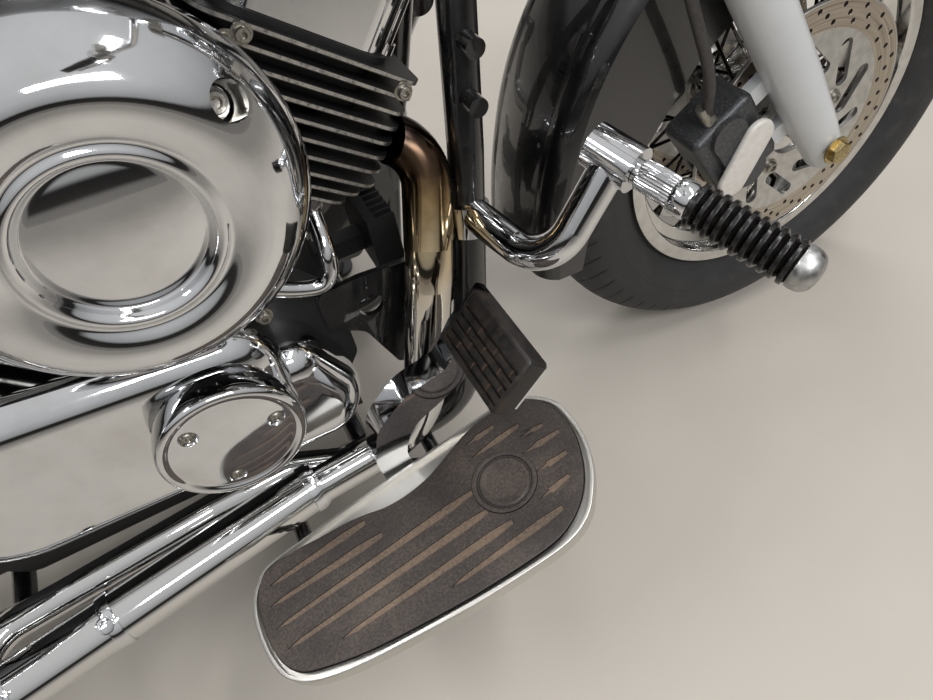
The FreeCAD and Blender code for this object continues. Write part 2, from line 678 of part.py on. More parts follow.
def bracket_points(side, x):
    """The line of a footboard bracket: out from the cradle tube, then up to the tray."""
    z = CRADLE_Z + (16 if side > 0 else -16)
    u = (BOARD_FRONT_X - x) / math.cos(math.radians(BOARD_PITCH))
    top = board_place(u, -18, -BOARD_THICKNESS - SEAT_GAP)
    top = Vector(top.x, top.y * -side, top.z)
    knee = top - board_up() * ((top.z - z) / board_up().z)
    return [Vector(knee.x, side * CRADLE_Y, z), Vector(knee.x, knee.y, z), top]


def board_bracket(side, x):
    """Bar that carries a footboard: under the exhaust on the right, over the folded stand on the left."""
    return tube(bracket_points(side, x), BRACKET_R, 16.0)


def brake_pivot():
    start = bracket_points(-1, BRACKET_XS[0])[0]
    return Vector(start.x - PEDAL_PIVOT_BACK, -PEDAL_OUTER_Y, start.z + PEDAL_PIVOT_RISE)


def shift_pivot():
    start = bracket_points(1, BRACKET_XS[0])[0]
    return Vector(start.x, SHIFT_Y, SHIFT_PIVOT_Z)


def lever_pivots():
    """Lugs on the front footboard brackets, with the pins that brake pedal and gear lever turn on."""
    brake, shift = brake_pivot(), shift_pivot()
    brake_root = bracket_points(-1, BRACKET_XS[0])[0]
    brake_y = -PEDAL_OUTER_Y + PEDAL_WIDTH + SEAT_GAP + LUG_R
    shift_y = SHIFT_Y - SHIFT_HUB_W / 2 - SEAT_GAP - LUG_R
    return [
        rod(Vector(brake_root.x, brake_y, brake_root.z), Vector(brake.x, brake_y, brake.z), LUG_R),
        rod(Vector(brake.x, brake_y, brake.z), Vector(brake.x, -PEDAL_OUTER_Y - 3, brake.z), PIN_R),
        rod(Vector(shift.x, shift_y, CRADLE_Z + 16), Vector(shift.x, shift_y, shift.z), LUG_R),
        rod(Vector(shift.x, shift_y, shift.z), Vector(shift.x, SHIFT_Y + SHIFT_HUB_W / 2 + 3, shift.z), PIN_R),
    ]


def engine_plate(side):
    """Gusset between a downtube and the crankcase's front, with a lightening hole."""
    corners = [(1026, 350, 8), (1026, 396, 10), (1070, 398, 30), (1176, 388, 8), (1170, 330, 10), (1110, 262, 10),
               (1084, 262, 8), (1060, 328, 20)]
    y = side * (CASE_HALF_WIDTH + SEAT_GAP)
    body = plate(corners, side_view(y), LEFT * (side * ENGINE_PLATE_THICKNESS))
    return body.cut(Part.makeCylinder(13.0, 60, Vector(1074, y - 30, 358), LEFT))


def rail_height(x):
    return SEAT_TUBE_Z - 4 + (560 - x) * 0.024


def frame():
    """Double-cradle tube frame: head tube, backbone, two downtubes, pivot plates and seat rails."""
    pieces = [backbone(BACKBONE_R)]
    for side in (-1, 1):
        pieces.append(downtube(side, DOWNTUBE_R))
        inner = PLATE_Y if side > 0 else -PLATE_Y - PLATE_THICKNESS
        pieces.append(plate(
            [(500, 236, 20), (580, 236, 20), (590, 420, 20), (560, 640, 14), (520, 640, 14), (494, 380, 30)],
            side_view(inner), LEFT * PLATE_THICKNESS))
        pieces.append(rod(Vector(560, side * RAIL_Y, rail_height(560)), Vector(60, side * RAIL_Y, rail_height(60)), RAIL_R))
        pieces += [board_bracket(side, x) for x in BRACKET_XS]
        pieces.append(engine_plate(side))
        for x, y, z in STAY_BOSSES:
            pieces.append(rod(Vector(x, side * y, z), Vector(x, side * (y + 34), z), 9.0))
    pieces.append(rod(Vector(560, -RAIL_Y, SEAT_TUBE_Z), Vector(560, RAIL_Y, SEAT_TUBE_Z), 14.0))
    for x in CROSS_TUBE_XS:
        pieces.append(rod(Vector(x, -CRADLE_Y, CRADLE_Z), Vector(x, CRADLE_Y, CRADLE_Z), CROSS_TUBE_R))
    pieces += stand_bracket() + lever_pivots()
    for x in TANK_RUBBER_XS:
        pieces.append(rod(Vector(x - 12, 0, BACKBONE_Z), Vector(x + 12, 0, BACKBONE_Z), BACKBONE_R + TANK_WALL_CLEARANCE - SEAT_GAP))
    for side in (-1, 1):
        for x in FENDER_BOLT_XS:
            z = rail_height(x)
            pieces.append(rod(Vector(x, side * (REAR_FENDER_HALF_WIDTH + SEAT_GAP), z), Vector(x, side * RAIL_Y, z), 8.0))
    body = fused([head_tube()] + pieces)
    stem = Part.makeCylinder(STEM_R + RUNNING_GAP, HEAD_LENGTH + 60, steering_point(HEAD_Z) - STEERING_UP * (HEAD_LENGTH / 2 + 30), STEERING_UP)
    return body.cut(stem)


def swingarm():
    """Swingarm: a cross tube between the pivot plates, a plain right arm, and the left arm that carries the shaft."""
    cross = rod(Vector(PIVOT_X, -PLATE_Y + SEAT_GAP, PIVOT_Z), Vector(PIVOT_X, PLATE_Y - SEAT_GAP, PIVOT_Z), PIVOT_TUBE_R)
    right = tube([Vector(PIVOT_X, -70, PIVOT_Z), Vector(458, -74, REAR_TYRE_R), Vector(400, -ARM_Y, REAR_TYRE_R),
                  Vector(-34, -ARM_Y, REAR_TYRE_R)], ARM_TUBE_R, 60.0)
    left = tube([Vector(PIVOT_X, 60, PIVOT_Z), Vector(450, 64, REAR_TYRE_R), Vector(390, ARM_Y + 10, REAR_TYRE_R),
                 Vector(DRIVE_CASE_R + 6, ARM_Y + 10, REAR_TYRE_R)], SHAFT_TUBE_R, 60.0)
    body = cross.multiFuse([right, left]).removeSplitter()
    return body.cut(Part.makeCylinder(AXLE_R + SEAT_GAP, 80, Vector(0, -ARM_Y - 40, REAR_TYRE_R), LEFT))


def final_drive():
    """Bevel gear housing at the rear axle's left end."""
    width = DRIVE_CASE_OUTER_Y - DRIVE_CASE_INNER_Y
    section = [(0, 0, 0), (0, DRIVE_CASE_R - 14, 6), (18, DRIVE_CASE_R, 8), (46, DRIVE_CASE_R, 10), (width - 16, 48, 10), (width, 40, 6), (width, 0, 0)]
    body = turned(section, REAR_AXLE + LEFT * DRIVE_CASE_INNER_Y, LEFT, UP)
    neck = Part.makeCylinder(SHAFT_TUBE_R + 4, DRIVE_CASE_R + 4, Vector(0, ARM_Y + 10, REAR_TYRE_R), FORWARD)
    body = body.fuse(neck.cut(Part.makeBox(60, 200, 200, Vector(-10, 40, REAR_TYRE_R - 100)))).removeSplitter()
    body = body.cut(Part.makeCylinder(AXLE_R + SEAT_GAP, 200, REAR_AXLE + LEFT * 60, LEFT))
    keep = Part.makeBox(400, 400, 400, Vector(DRIVE_CASE_R + 6 - SEAT_GAP, -100, 100))
    return body.cut(keep)


def rear_axle():
    shaft = rod(REAR_AXLE - LEFT * 158, REAR_AXLE + LEFT * (DRIVE_CASE_OUTER_Y + 14), AXLE_R)
    nuts = [rod(REAR_AXLE - LEFT * 158, REAR_AXLE - LEFT * 146, 16.0),
            rod(REAR_AXLE + LEFT * (DRIVE_CASE_OUTER_Y + 0.3), REAR_AXLE + LEFT * (DRIVE_CASE_OUTER_Y + 12), 16.0)]
    spacer = rod(REAR_AXLE - LEFT * 104, REAR_AXLE - LEFT * (disc_seat(REAR_DISC_Y) + HUB_END_GAP), 15.0)
    return fused([shaft] + nuts + [spacer])


def front_axle():
    reach = FORK_Y + FORK_LOWER_R + 3
    shaft = rod(FRONT_AXLE - LEFT * reach, FRONT_AXLE + LEFT * reach, AXLE_R)
    inner = FORK_Y - FORK_LOWER_R - 1.0
    spacers = [rod(FRONT_AXLE + LEFT * (s * (disc_seat(FRONT_DISC_Y) + HUB_END_GAP)), FRONT_AXLE + LEFT * (s * inner), 15.0) for s in (-1, 1)]
    return fused([shaft] + spacers)


def fork_lower(side):
    """Cast fork lower leg, its foot round the axle, with lugs for the caliper."""
    foot = fork_point(-FORK_FOOT_DROP, side)
    top = fork_point(FORK_LOWER_LENGTH, side)
    leg = turned([(0, 0, 0), (0, 22, 8), (60, 26, 40), (150, FORK_LOWER_R, 60), (FORK_LOWER_LENGTH + FORK_FOOT_DROP, FORK_LOWER_R, 3), (FORK_LOWER_LENGTH + FORK_FOOT_DROP, 0, 0)],
                 foot, STEERING_UP, LEFT)
    back = Vector(-STEERING_UP.z, 0, STEERING_UP.x)
    lug_y = side * (FORK_Y - 12)
    lugs = []
    for along in (58, 138):
        start = FRONT_AXLE + STEERING_UP * along + Vector(0, lug_y, 0)
        lug = Part.makeBox(44, 14, 22, Vector(0, -7, -11))
        lug.Placement = FreeCAD.Placement(start, Rotation(back, LEFT, STEERING_UP, "XYZ"))
        lugs.append(lug)
    for along in FENDER_BOSSES:
        boss = fork_point(along, side)
        lugs.append(rod(Vector(boss.x, side * (FRONT_FENDER_HALF_WIDTH + SEAT_GAP), boss.z), boss, 9.0))
    body = leg.multiFuse(lugs).removeSplitter()
    return body.cut(Part.makeCylinder(AXLE_R + SEAT_GAP, 120, FRONT_AXLE + LEFT * (side * FORK_Y - 60), LEFT))


def fork_tube(side):
    start = fork_point(FORK_LOWER_LENGTH + SEAT_GAP, side)
    end = fork_point(fork_level(UPPER_CLAMP_Z) + CLAMP_THICKNESS / 2 + 6, side)
    seal = rod(start, start + STEERING_UP * 14, FORK_TUBE_R + 5)
    return fused([rod(start, end, FORK_TUBE_R), seal])


def clamp(height):
    """Triple clamp: a plate square to the steering axis that grips both fork tubes and the stem."""
    centre = steering_point(height)
    ahead = Vector(STEERING_UP.z, 0, -STEERING_UP.x)
    offset = (fork_point(fork_level(height)) - centre).dot(ahead)
    half = FORK_Y + 32
    corners = [(-26, -20, 16), (-26, 20, 16), (offset - 24, FORK_Y, 60), (offset - 24, half, 20), (offset + 32, half, 24),
               (offset + 24, 0, 200), (offset + 32, -half, 24), (offset - 24, -half, 20), (offset - 24, -FORK_Y, 60)]
    body = plate(corners, lambda a, y: centre + ahead * a + LEFT * y - STEERING_UP * (CLAMP_THICKNESS / 2), STEERING_UP * CLAMP_THICKNESS)
    for side in (-1, 1):
        hole = Part.makeCylinder(FORK_TUBE_R + SEAT_GAP, 200, fork_point(fork_level(height) - 100, side), STEERING_UP)
        body = body.cut(hole)
    return body


def triple_clamps():
    low, high = steering_point(LOWER_CLAMP_Z), steering_point(UPPER_CLAMP_Z)
    return fused([clamp(LOWER_CLAMP_Z), clamp(UPPER_CLAMP_Z), rod(low, high, STEM_R)])


def bar_points(side):
    """The right or left half of the pulled-back handlebar, from its clamp to its end."""
    riser = bar_centre()
    return [riser, riser + Vector(0, side * 95, 0)] + [riser + Vector(x, side * y, z) for x, y, z in BAR_SHAPE]


def bar_centre():
    return fork_point(fork_level(UPPER_CLAMP_Z) + 62)


def handlebar():
    """Wide pull-back handlebar on two risers."""
    halves = [tube(bar_points(side), BAR_R, 70.0) for side in (-1, 1)]
    risers = []
    top = bar_centre()
    for side in (-1, 1):
        y = side * 48
        base = fork_point(fork_level(UPPER_CLAMP_Z) + CLAMP_THICKNESS / 2 + SEAT_GAP) + LEFT * y
        risers.append(rod(base, top + LEFT * y, 17.0))
        risers.append(rod(top + LEFT * (y - 16), top + LEFT * (y + 16), 20.0))
    return fused(halves + risers)


def bar_end_direction(side):
    points = bar_points(side)
    return (points[-1] - points[-2]).normalize()


def grip(side):
    """Rubber grip pushed over the bar's end, closed by a flanged cap."""
    end = bar_points(side)[-1]
    direction = bar_end_direction(side)
    start = end - direction * GRIP_LENGTH
    section = [(0, BAR_R + SEAT_GAP, 0), (0, GRIP_R + 3, 1.5), (6, GRIP_R, 2), (GRIP_LENGTH * 0.5, GRIP_R + 2, 60), (GRIP_LENGTH + 2, GRIP_R, 2),
               (GRIP_LENGTH + 2, BAR_R + SEAT_GAP, 0)]
    across = direction.cross(UP).normalize()
    return turned(section, start, direction, across)


def control(side):
    """Switch housing and lever beside a grip; the right one carries the brake fluid reservoir."""
    end = bar_points(side)[-1]
    direction = bar_end_direction(side)
    centre = end - direction * (GRIP_LENGTH + 24)
    housing = ring(centre, direction, 23.0, BAR_R + SEAT_GAP, 40.0)
    lever_base = centre + Vector(34, 0, -2)
    perch = rod(centre + Vector(14, 0, 0), lever_base, 10.0)
    lever = tube([lever_base - direction * 10, lever_base + direction * 40 + Vector(20, 0, 0), lever_base + direction * 165 + Vector(16, 0, 0)], 6.0, 40.0)
    pieces = [perch, lever]
    pieces.append(rod(centre + Vector(18, 0, 4), centre + Vector(18, 0, 24), 9.0))
    if side < 0:
        pieces.append(filleted(Part.makeBox(46, 60, 30, centre + Vector(-4, 16, 22)), 6.0, lambda edge: True))
        pieces.append(rod(centre + Vector(14, 4, 8), centre + Vector(18, 30, 34), 9.0))
    body = housing.multiFuse(pieces)
    return body.cut(rod(centre - direction * 60, centre + direction * 22, BAR_R + SEAT_GAP))


def mirror_piece(side):
    """Round chromed mirror on a bent stalk from the control's perch."""
    end = bar_points(side)[-1]
    direction = bar_end_direction(side)
    foot = end - direction * (GRIP_LENGTH + 24) + Vector(18, 0, 24 + SEAT_GAP)
    head = foot + Vector(6, side * 40, 92)
    stalk = tube([foot + UP * 0.3, foot + Vector(0, 0, 24), head + Vector(18, side * -16, -34), head + Vector(6, 0, 0)], 5.0, 24.0)
    glass = turned([(0, 0, 0), (0, 48, 3), (6, 52, 3), (14, 44, 12), (22, 0, 0)], head - FORWARD * 2, FORWARD, UP)
    return stalk.fuse(glass).removeSplitter()


def turn_lamps(middle, forward, radius):
    """Two bullet-shaped turn lamps at the ends of one bar, pointing forward (1) or back (-1)."""
    section = [(-34, 0, 0), (-30, 12, 8), (-8, radius, 20), (18, radius, 2), (18, radius - 4, 1), (12, radius - 4, 1), (12, 0, 0)]
    ends = [middle + LEFT * (side * INDICATOR_Y) for side in (-1, 1)]
    return [rod(ends[0], ends[1], 6.5)] + [turned(section, end, FORWARD * forward, UP) for end in ends]


def headlight():
    """Bullet headlight shell on a bracket from the lower clamp, with the turn lamps' bar behind it."""
    centre = Vector(HEADLIGHT_X, 0, HEADLIGHT_Z)
    section = [(-96, 0, 0), (-92, 30, 20), (-60, 74, 60), (-10, HEADLIGHT_R, 60), (26, HEADLIGHT_R + 2, 3), (34, HEADLIGHT_R - 4, 3), (34, HEADLIGHT_R - 12, 2), (20, HEADLIGHT_R - 14, 2), (20, 0, 0)]
    shell = turned(section, centre, FORWARD, UP)
    ahead = Vector(STEERING_UP.z, 0, -STEERING_UP.x)
    seat = fork_point(fork_level(LOWER_CLAMP_Z) + CLAMP_THICKNESS / 2 + SEAT_GAP) - ahead * 2
    foot = Part.makeCylinder(20, 8, seat, STEERING_UP)
    stay = tube([seat + STEERING_UP * 4, seat + STEERING_UP * 40, centre - UP * (HEADLIGHT_R - 14) - FORWARD * 6], 11.0, 30.0)
    bar = (seat + STEERING_UP * 40) * 0.5 + (centre - UP * (HEADLIGHT_R - 14) - FORWARD * 6) * 0.5
    return shell.multiFuse([foot, stay] + turn_lamps(bar, 1, INDICATOR_R)).removeSplitter()


def headlight_lens():
    centre = Vector(HEADLIGHT_X, 0, HEADLIGHT_Z)
    r = HEADLIGHT_R - 15
    return turned([(20.3, 0, 0), (20.3, r, 0), (32, r, 3), (44, 0, 0)], centre, FORWARD, UP)


def fender_arch(half_width, skirt_radius, peak):
    """A fender's section, from one side's lip over the crown to the other's, as (y, radius) arcs and lines."""
    shoulder, bend = peak - 26.0, half_width * 0.42
    rise = peak - shoulder
    side_points = [Vector(0, half_width, skirt_radius), Vector(0, half_width, shoulder),
                   Vector(0, half_width - bend * 0.3, shoulder + rise * 0.52), Vector(0, half_width - bend, shoulder + rise * 0.8)]
    low, high, corner, inner = side_points
    flip = [Vector(0, -p.y, p.z) for p in side_points]
    return [Part.LineSegment(flip[0], flip[1]), Part.Arc(flip[1], flip[2], flip[3]), Part.Arc(flip[3], Vector(0, 0, peak), inner),
            Part.Arc(inner, corner, high), Part.LineSegment(high, low)]


def swept_section(edges, axle, start, end):
    """A closed section turned about an axle from angle start to end, measured up from straight ahead."""
    face = Part.Face(Part.Wire(Part.__sortEdges__([edge.toShape() for edge in edges])))
    face.rotate(Vector(0, 0, 0), LEFT, 90 - start)
    body = face.revolve(Vector(0, 0, 0), LEFT, -(end - start))
    body.translate(axle)
    return body


def fender_sheet(half_width, skirt_radius, radius):
    """The section of a rolled fender: a crowned sheet with side skirts down to skirt_radius."""
    t = FENDER_SHEET
    edges = fender_arch(half_width, skirt_radius, radius) + fender_arch(half_width - t, skirt_radius, radius - t)
    for side in (-1, 1):
        edges.append(Part.LineSegment(Vector(0, side * half_width, skirt_radius), Vector(0, side * (half_width - t), skirt_radius)))
    return edges


def polar(axle, angle, radius):
    """A point in the side view, at an angle measured up from straight ahead of an axle."""
    a = math.radians(angle)
    return axle + Vector(math.cos(a), 0, math.sin(a)) * radius


def lip_profile(axle, lip, reach):
    """The side profile a fender's skirts keep: inside it runs the lip (angle, radius, corner), outside the crown."""
    inner = [polar(axle, angle, radius) for angle, radius, _ in lip]
    outer = [polar(axle, angle, reach) for angle, _, _ in reversed(lip)]
    corners = [(q.x, q.z, c[2]) for q, c in zip(inner, lip)] + [(q.x, q.z, 0) for q in outer]
    return plate(corners, side_view(-200.0), LEFT * 400)


def fender_shadow(axle, radius, half_width, skirt_radius, start, end):
    """All that lies under a fender's skin, for fitting what is bolted on it."""
    edges = fender_arch(half_width + SEAT_GAP, skirt_radius, radius + SEAT_GAP)
    edges.append(Part.LineSegment(Vector(0, -half_width - SEAT_GAP, skirt_radius), Vector(0, half_width + SEAT_GAP, skirt_radius)))
    return swept_section(edges, axle, start, end)


def front_fender():
    edges = fender_sheet(FRONT_FENDER_HALF_WIDTH, 205.0, FRONT_FENDER_R)
    arch = swept_section(edges, FRONT_AXLE, FRONT_FENDER_START, FRONT_FLARE_START)
    face = Part.Face(Part.Wire(Part.__sortEdges__([edge.toShape() for edge in edges])))
    face.rotate(Vector(0, 0, 0), LEFT, 90 - FRONT_FLARE_START)
    face.translate(FRONT_AXLE)
    flare_centre = polar(FRONT_AXLE, FRONT_FLARE_START, FRONT_FENDER_R - FRONT_FLARE_R)
    tail = face.revolve(flare_centre, LEFT, -FRONT_FLARE_TURN)
    return arch.fuse(tail).removeSplitter().common(lip_profile(FRONT_AXLE, FRONT_LIP, 460.0))


def rear_fender():
    edges = fender_sheet(REAR_FENDER_HALF_WIDTH, REAR_FENDER_R - 140.0, REAR_FENDER_R)
    arch = swept_section(edges, REAR_AXLE, REAR_FENDER_START, REAR_FENDER_END)
    lip = [(angle, REAR_FENDER_R - depth, corner) for angle, depth, corner in REAR_LIP]
    return arch.common(lip_profile(REAR_AXLE, lip, REAR_FENDER_R + 88.0))


def fender_rail(side):
    """Chromed strut that carries the rear fender from the seat rail."""
    y = REAR_FENDER_HALF_WIDTH + SEAT_GAP
    corners = [(330, 584, 10), (330, 612, 10), (-60, 606, 60), (-226, 500, 12), (-208, 478, 12), (-60, 576, 50)]
    body = plate(corners, side_view(side * y if side > 0 else -y - RAIL_THICKNESS), LEFT * RAIL_THICKNESS)
    for x, z in LUGGAGE_HOLES:
        body = body.cut(Part.makeCylinder(LUGGAGE_HOLE_R, 300, Vector(x, side * 250, z), LEFT * -side))
    return body


def rear_caliper():
    """Caliper over the rear disc, on a bracket that sits on the swingarm's right arm."""
    body = Part.makeBox(70, 40, 52, Vector(84, -REAR_DISC_Y - 14, REAR_TYRE_R + 62))
    body = filleted(body, 8.0, lambda edge: True)
    slot = Part.makeCylinder(REAR_DISC_R + 8, DISC_THICKNESS + 11, REAR_AXLE - LEFT * (REAR_DISC_Y + (DISC_THICKNESS + 11) / 2), LEFT)
    body = body.cut(slot)
    hanger = Part.makeBox(40, ARM_Y - REAR_DISC_Y - 4, 30, Vector(98, -ARM_Y - 5, REAR_TYRE_R + 66))
    foot = Part.makeBox(40, 12, 80, Vector(98, -ARM_Y - 5, REAR_TYRE_R + 10))
    arm = rod(Vector(60, -ARM_Y, REAR_TYRE_R), Vector(200, -ARM_Y, REAR_TYRE_R), ARM_TUBE_R + SEAT_GAP)
    return body.multiFuse([hanger.cut(slot), foot]).removeSplitter().cut(arm)


def front_caliper(side):
    """Two-piston sliding caliper behind the fork leg, straddling the disc."""
    y = side * FRONT_DISC_Y
    body = filleted(Part.makeBox(80, 62, 112, Vector(-40, -31, -56)), 9.0, lambda edge: True)
    body.rotate(Vector(0, 0, 0), LEFT, -RAKE)
    back = Vector(-STEERING_UP.z, 0, STEERING_UP.x)
    body.translate(FRONT_AXLE + STEERING_UP * 98 + back * 84 + LEFT * (y + side * 6))
    low, high = [FRONT_AXLE + STEERING_UP * a + back * 86 for a in (62, 132)]
    face = side * (FRONT_DISC_Y + 36)
    covers = [rod(Vector(q.x, face, q.z), Vector(q.x, face + side * 7, q.z), 22.0) for q in (low, high)]
    bridge = Part.makeBox(70, 7, 42, Vector(-35, -3.5, -21))
    bridge.Placement = FreeCAD.Placement(Vector((low.x + high.x) / 2, face + side * 3.5, (low.z + high.z) / 2),
                                         Rotation(STEERING_UP, LEFT, back * -1, "XYZ"))
    body = body.multiFuse(covers + [bridge])
    room = Part.makeCylinder(FRONT_DISC_R + 8, DISC_THICKNESS + 11, FRONT_AXLE + LEFT * (y - (DISC_THICKNESS + 11) / 2), LEFT)
    inside = Part.makeBox(600, 2 * CALIPER_INNER_Y, 600, Vector(WHEELBASE - 300, -CALIPER_INNER_Y, 0))
    return body.cut(room).cut(inside).cut(fork_lower(side))


def hose_points(side):
    """The brake hose's route, from the lower clamp down behind the fork leg to the caliper."""
    ahead = Vector(STEERING_UP.z, 0, -STEERING_UP.x)
    back = ahead * -1
    top = steering_point(LOWER_CLAMP_Z) + ahead * 47 + LEFT * (side * 84) - STEERING_UP * (CLAMP_THICKNESS / 2 + SEAT_GAP)
    end = FRONT_AXLE + STEERING_UP * (98 + 56 + SEAT_GAP) + back * 90 + LEFT * (side * 96)
    bends = [FRONT_AXLE + Vector(x, side * y, z) for x, y, z in HOSE_BENDS]
    return [top, top - STEERING_UP * 50] + bends + [end + STEERING_UP * 12, end]


def brake_hose(side):
    points = hose_points(side)
    sleeve = rod(points[-1], points[-2], HOSE_R + 2.5)
    return tube(points[:-1], HOSE_R, 120.0).fuse(sleeve).removeSplitter()


def tank():
    """Teardrop fuel tank: rounded sections lofted from the head to the seat, with a tunnel for the backbone."""
    # x, half width, bottom z, top z, bottom corner radius, top corner radius
    sections = [
        (1166, 46, 762, 838, 20, 40), (1140, 112, 740, 886, 26, 66), (1040, 158, 734, 912, 30, 100),
        (900, 156, 734, 904, 30, 100), (760, 112, 736, 852, 24, 76), (694, 74, 738, 806, 18, 46),
    ]
    wires = []
    for x, half, bottom, top, low_r, top_r in sections:
        corners = [(-half, bottom, low_r), (half, bottom, low_r), (half, top, min(top_r, half * 0.85)), (-half, top, min(top_r, half * 0.85))]
        wires.append(outline(corners, lambda y, z, x=x: Vector(x, y, z)))
    body = Part.makeLoft(wires, True, False)
    tunnel_r = BACKBONE_R + TANK_WALL_CLEARANCE
    slot = Part.makeBox(700, 2 * tunnel_r, BACKBONE_Z - 700, Vector(600, -tunnel_r, 700))
    return body.cut(slot).cut(backbone(tunnel_r))


def console():
    """Chromed speedometer pod on top of the tank, tapering back to the seat."""
    corners = [(1040, -CONSOLE_R, 50), (1100, -CONSOLE_R, 50), (1100, CONSOLE_R, 50), (1040, CONSOLE_R, 50), (800, 22, 18), (800, -22, 18)]
    body = plate(corners, lambda x, y: Vector(x, y, 850), UP * 84)
    slope = Part.makeBox(600, 300, 200, Vector(-300, -150, 0))
    slope.rotate(Vector(0, 0, 0), LEFT, -9)
    slope.translate(Vector(960, 0, 922))
    body = body.cut(slope)
    return body.cut(tank())


def seat_block(sections):
    """A cushion lofted through rounded sections (x, half width, bottom z, top z, top corner radius)."""
    wires = []
    for x, half, bottom, top, radius in sections:
        corners = [(-half, bottom, 8), (half, bottom, 8), (half, top, radius), (-half, top, radius)]
        wires.append(outline(corners, lambda y, z, x=x: Vector(x, y, z)))
    return Part.makeLoft(wires, True, True)


def rider_seat():
    sections = [(688, 66, 744, 802, 16), (600, 128, 672, 740, 26), (500, 168, 657, 716, 28), (400, 172, 657, 724, 28),
                (SEAT_JOINT_X, 150, 690, 782, 26)]
    return seat_block(sections).cut(backbone(BACKBONE_R + SEAT_GAP))


def passenger_seat():
    rest = REAR_TYRE_R + REAR_FENDER_R + SEAT_GAP
    return seat_block([(SEAT_JOINT_X - SEAT_GAP, 118, rest + 12, rest + 78, 24), (200, 120, rest + 4, rest + 90, 26),
                       (70, 104, rest, rest + 76, 26), (-10, 70, rest, rest + 42, 14)])


def battery_box():
    """Battery and tool box between the pivot plates, under the seat."""
    inner = PLATE_Y - SEAT_GAP
    corners = [(470, 448, 14), (584, 430, 14), (596, 600, 20), (478, 612, 20)]
    return plate(corners, side_view(-inner), LEFT * (2 * inner))


def side_cover(side):
    """Painted panel below the seat, over the frame's pivot plates."""
    corners = [(462, 470, 30), (572, 450, 20), (566, 600, 20), (490, 612, 30)]
    y = PLATE_Y + PLATE_THICKNESS + SEAT_GAP
    body = plate(corners, side_view(y), LEFT * 22)
    body = filleted(body, 10.0, lambda edge: all(abs(v.Point.y - y - 22) < 0.01 for v in edge.Vertexes))
    return body if side > 0 else mirrored(body)


def board_place(u, v, w):
    """A point of the right footboard: u back from its front end, v outward, w above its top."""
    pitch, yaw = math.radians(BOARD_PITCH), math.radians(BOARD_YAW)
    back = Vector(-math.cos(pitch) * math.cos(yaw), math.cos(pitch) * math.sin(-yaw), -math.sin(pitch))
    out = Vector(math.sin(yaw), -math.cos(yaw), 0)
    up = out.cross(back).normalize()
    up = up if up.z > 0 else -up
    return Vector(BOARD_FRONT_X, -BOARD_Y, BOARD_FRONT_Z) + back * u + out * v + up * w


def board_up():
    return (board_place(0, 0, 1) - board_place(0, 0, 0)).normalize()


def board_outline(table, inset):
    """The plan of the tray or of its mat, drawn in about the board's centre by an inset."""
    u0, v0 = BOARD_CENTRE
    along, across = 1 - 2 * inset / BOARD_SIZE[0], 1 - 2 * inset / BOARD_SIZE[1]
    return [(u0 + (u - u0) * along, v0 + (v - v0) * across, max(corner - inset, 0)) for u, v, corner in table]


def board_tray():
    """Cast footboard with a raised rim."""
    depth = BOARD_THICKNESS + BOARD_RIM
    body = plate(board_outline(TRAY_OUTLINE, 0), lambda u, v: board_place(u, v, -BOARD_THICKNESS), board_up() * depth)
    pocket = plate(board_outline(TRAY_OUTLINE, 4), lambda u, v: board_place(u, v, 0), board_up() * (BOARD_RIM + 1))
    return body.cut(pocket)


def board_pad():
    """Moulded rubber mat with a round boss near its front."""
    mat = plate(board_outline(PAD_OUTLINE, 0), lambda u, v: board_place(u, v, SEAT_GAP), board_up() * BOARD_PAD_THICKNESS)
    u, v, r = PAD_BOSS
    return mat.fuse(rod(board_place(u, v, 1), board_place(u, v, BOARD_PAD_THICKNESS + 1.6), r))


def brake_pedal():
    """Chromed brake pedal: a wide flat arm that curls up from its pivot, with the plate that carries the pad."""
    pivot = brake_pivot()
    outer = [(1124, 380, 0), (1104, 350, 20), (1061, 340, 30), (1024, 309, 40), (1012, 264, 50), (1018, 196, 30), (pivot.x - 13, pivot.z, 0)]
    inner = [(pivot.x + 13, pivot.z, 0), (1049, 200, 20), (1044, 260, 40), (1058, 292, 40), (1086, 306, 30), (1122, 326, 20), (1136, 392, 0)]
    arm = plate(outer + inner, side_view(-PEDAL_OUTER_Y), LEFT * PEDAL_WIDTH)
    hub = rod(pivot, pivot + LEFT * PEDAL_WIDTH, LEVER_HUB_R)
    body = arm.multiFuse([hub, pedal_plate(3.0, -6.0, 0, 5.0, 24.0)]).removeSplitter()
    return body.cut(rod(pivot - LEFT * 5, pivot + LEFT * (PEDAL_WIDTH + 5), PIN_R + SEAT_GAP))


def pedal_frame():
    """Origin and directions of the brake pedal's pad: across, up its face, and out of it."""
    up = Vector(0.70, 0, 0.71).normalize()
    out = Vector(-0.71, 0, 0.70).normalize()
    return Vector(1138, -206, 400), -LEFT, up, out


def pedal_plate(inset, depth_from, depth_to, corner, inward=0.0):
    base, across, up, out = pedal_frame()
    w, h = PEDAL_PAD_WIDTH - inset, PEDAL_PAD_HEIGHT / 2 - inset
    start = inset - inward
    corners = [(start, -h, corner), (w, -h, corner), (w, h, corner), (start, h, corner)]
    return plate(corners, lambda a, b: base + across * a + up * b + out * depth_from, out * (depth_to - depth_from))


def pedal_pad():
    """Rubber tread clipped over the pedal's plate."""
    return pedal_plate(0, SEAT_GAP, PEDAL_PAD_THICKNESS, 6.0)


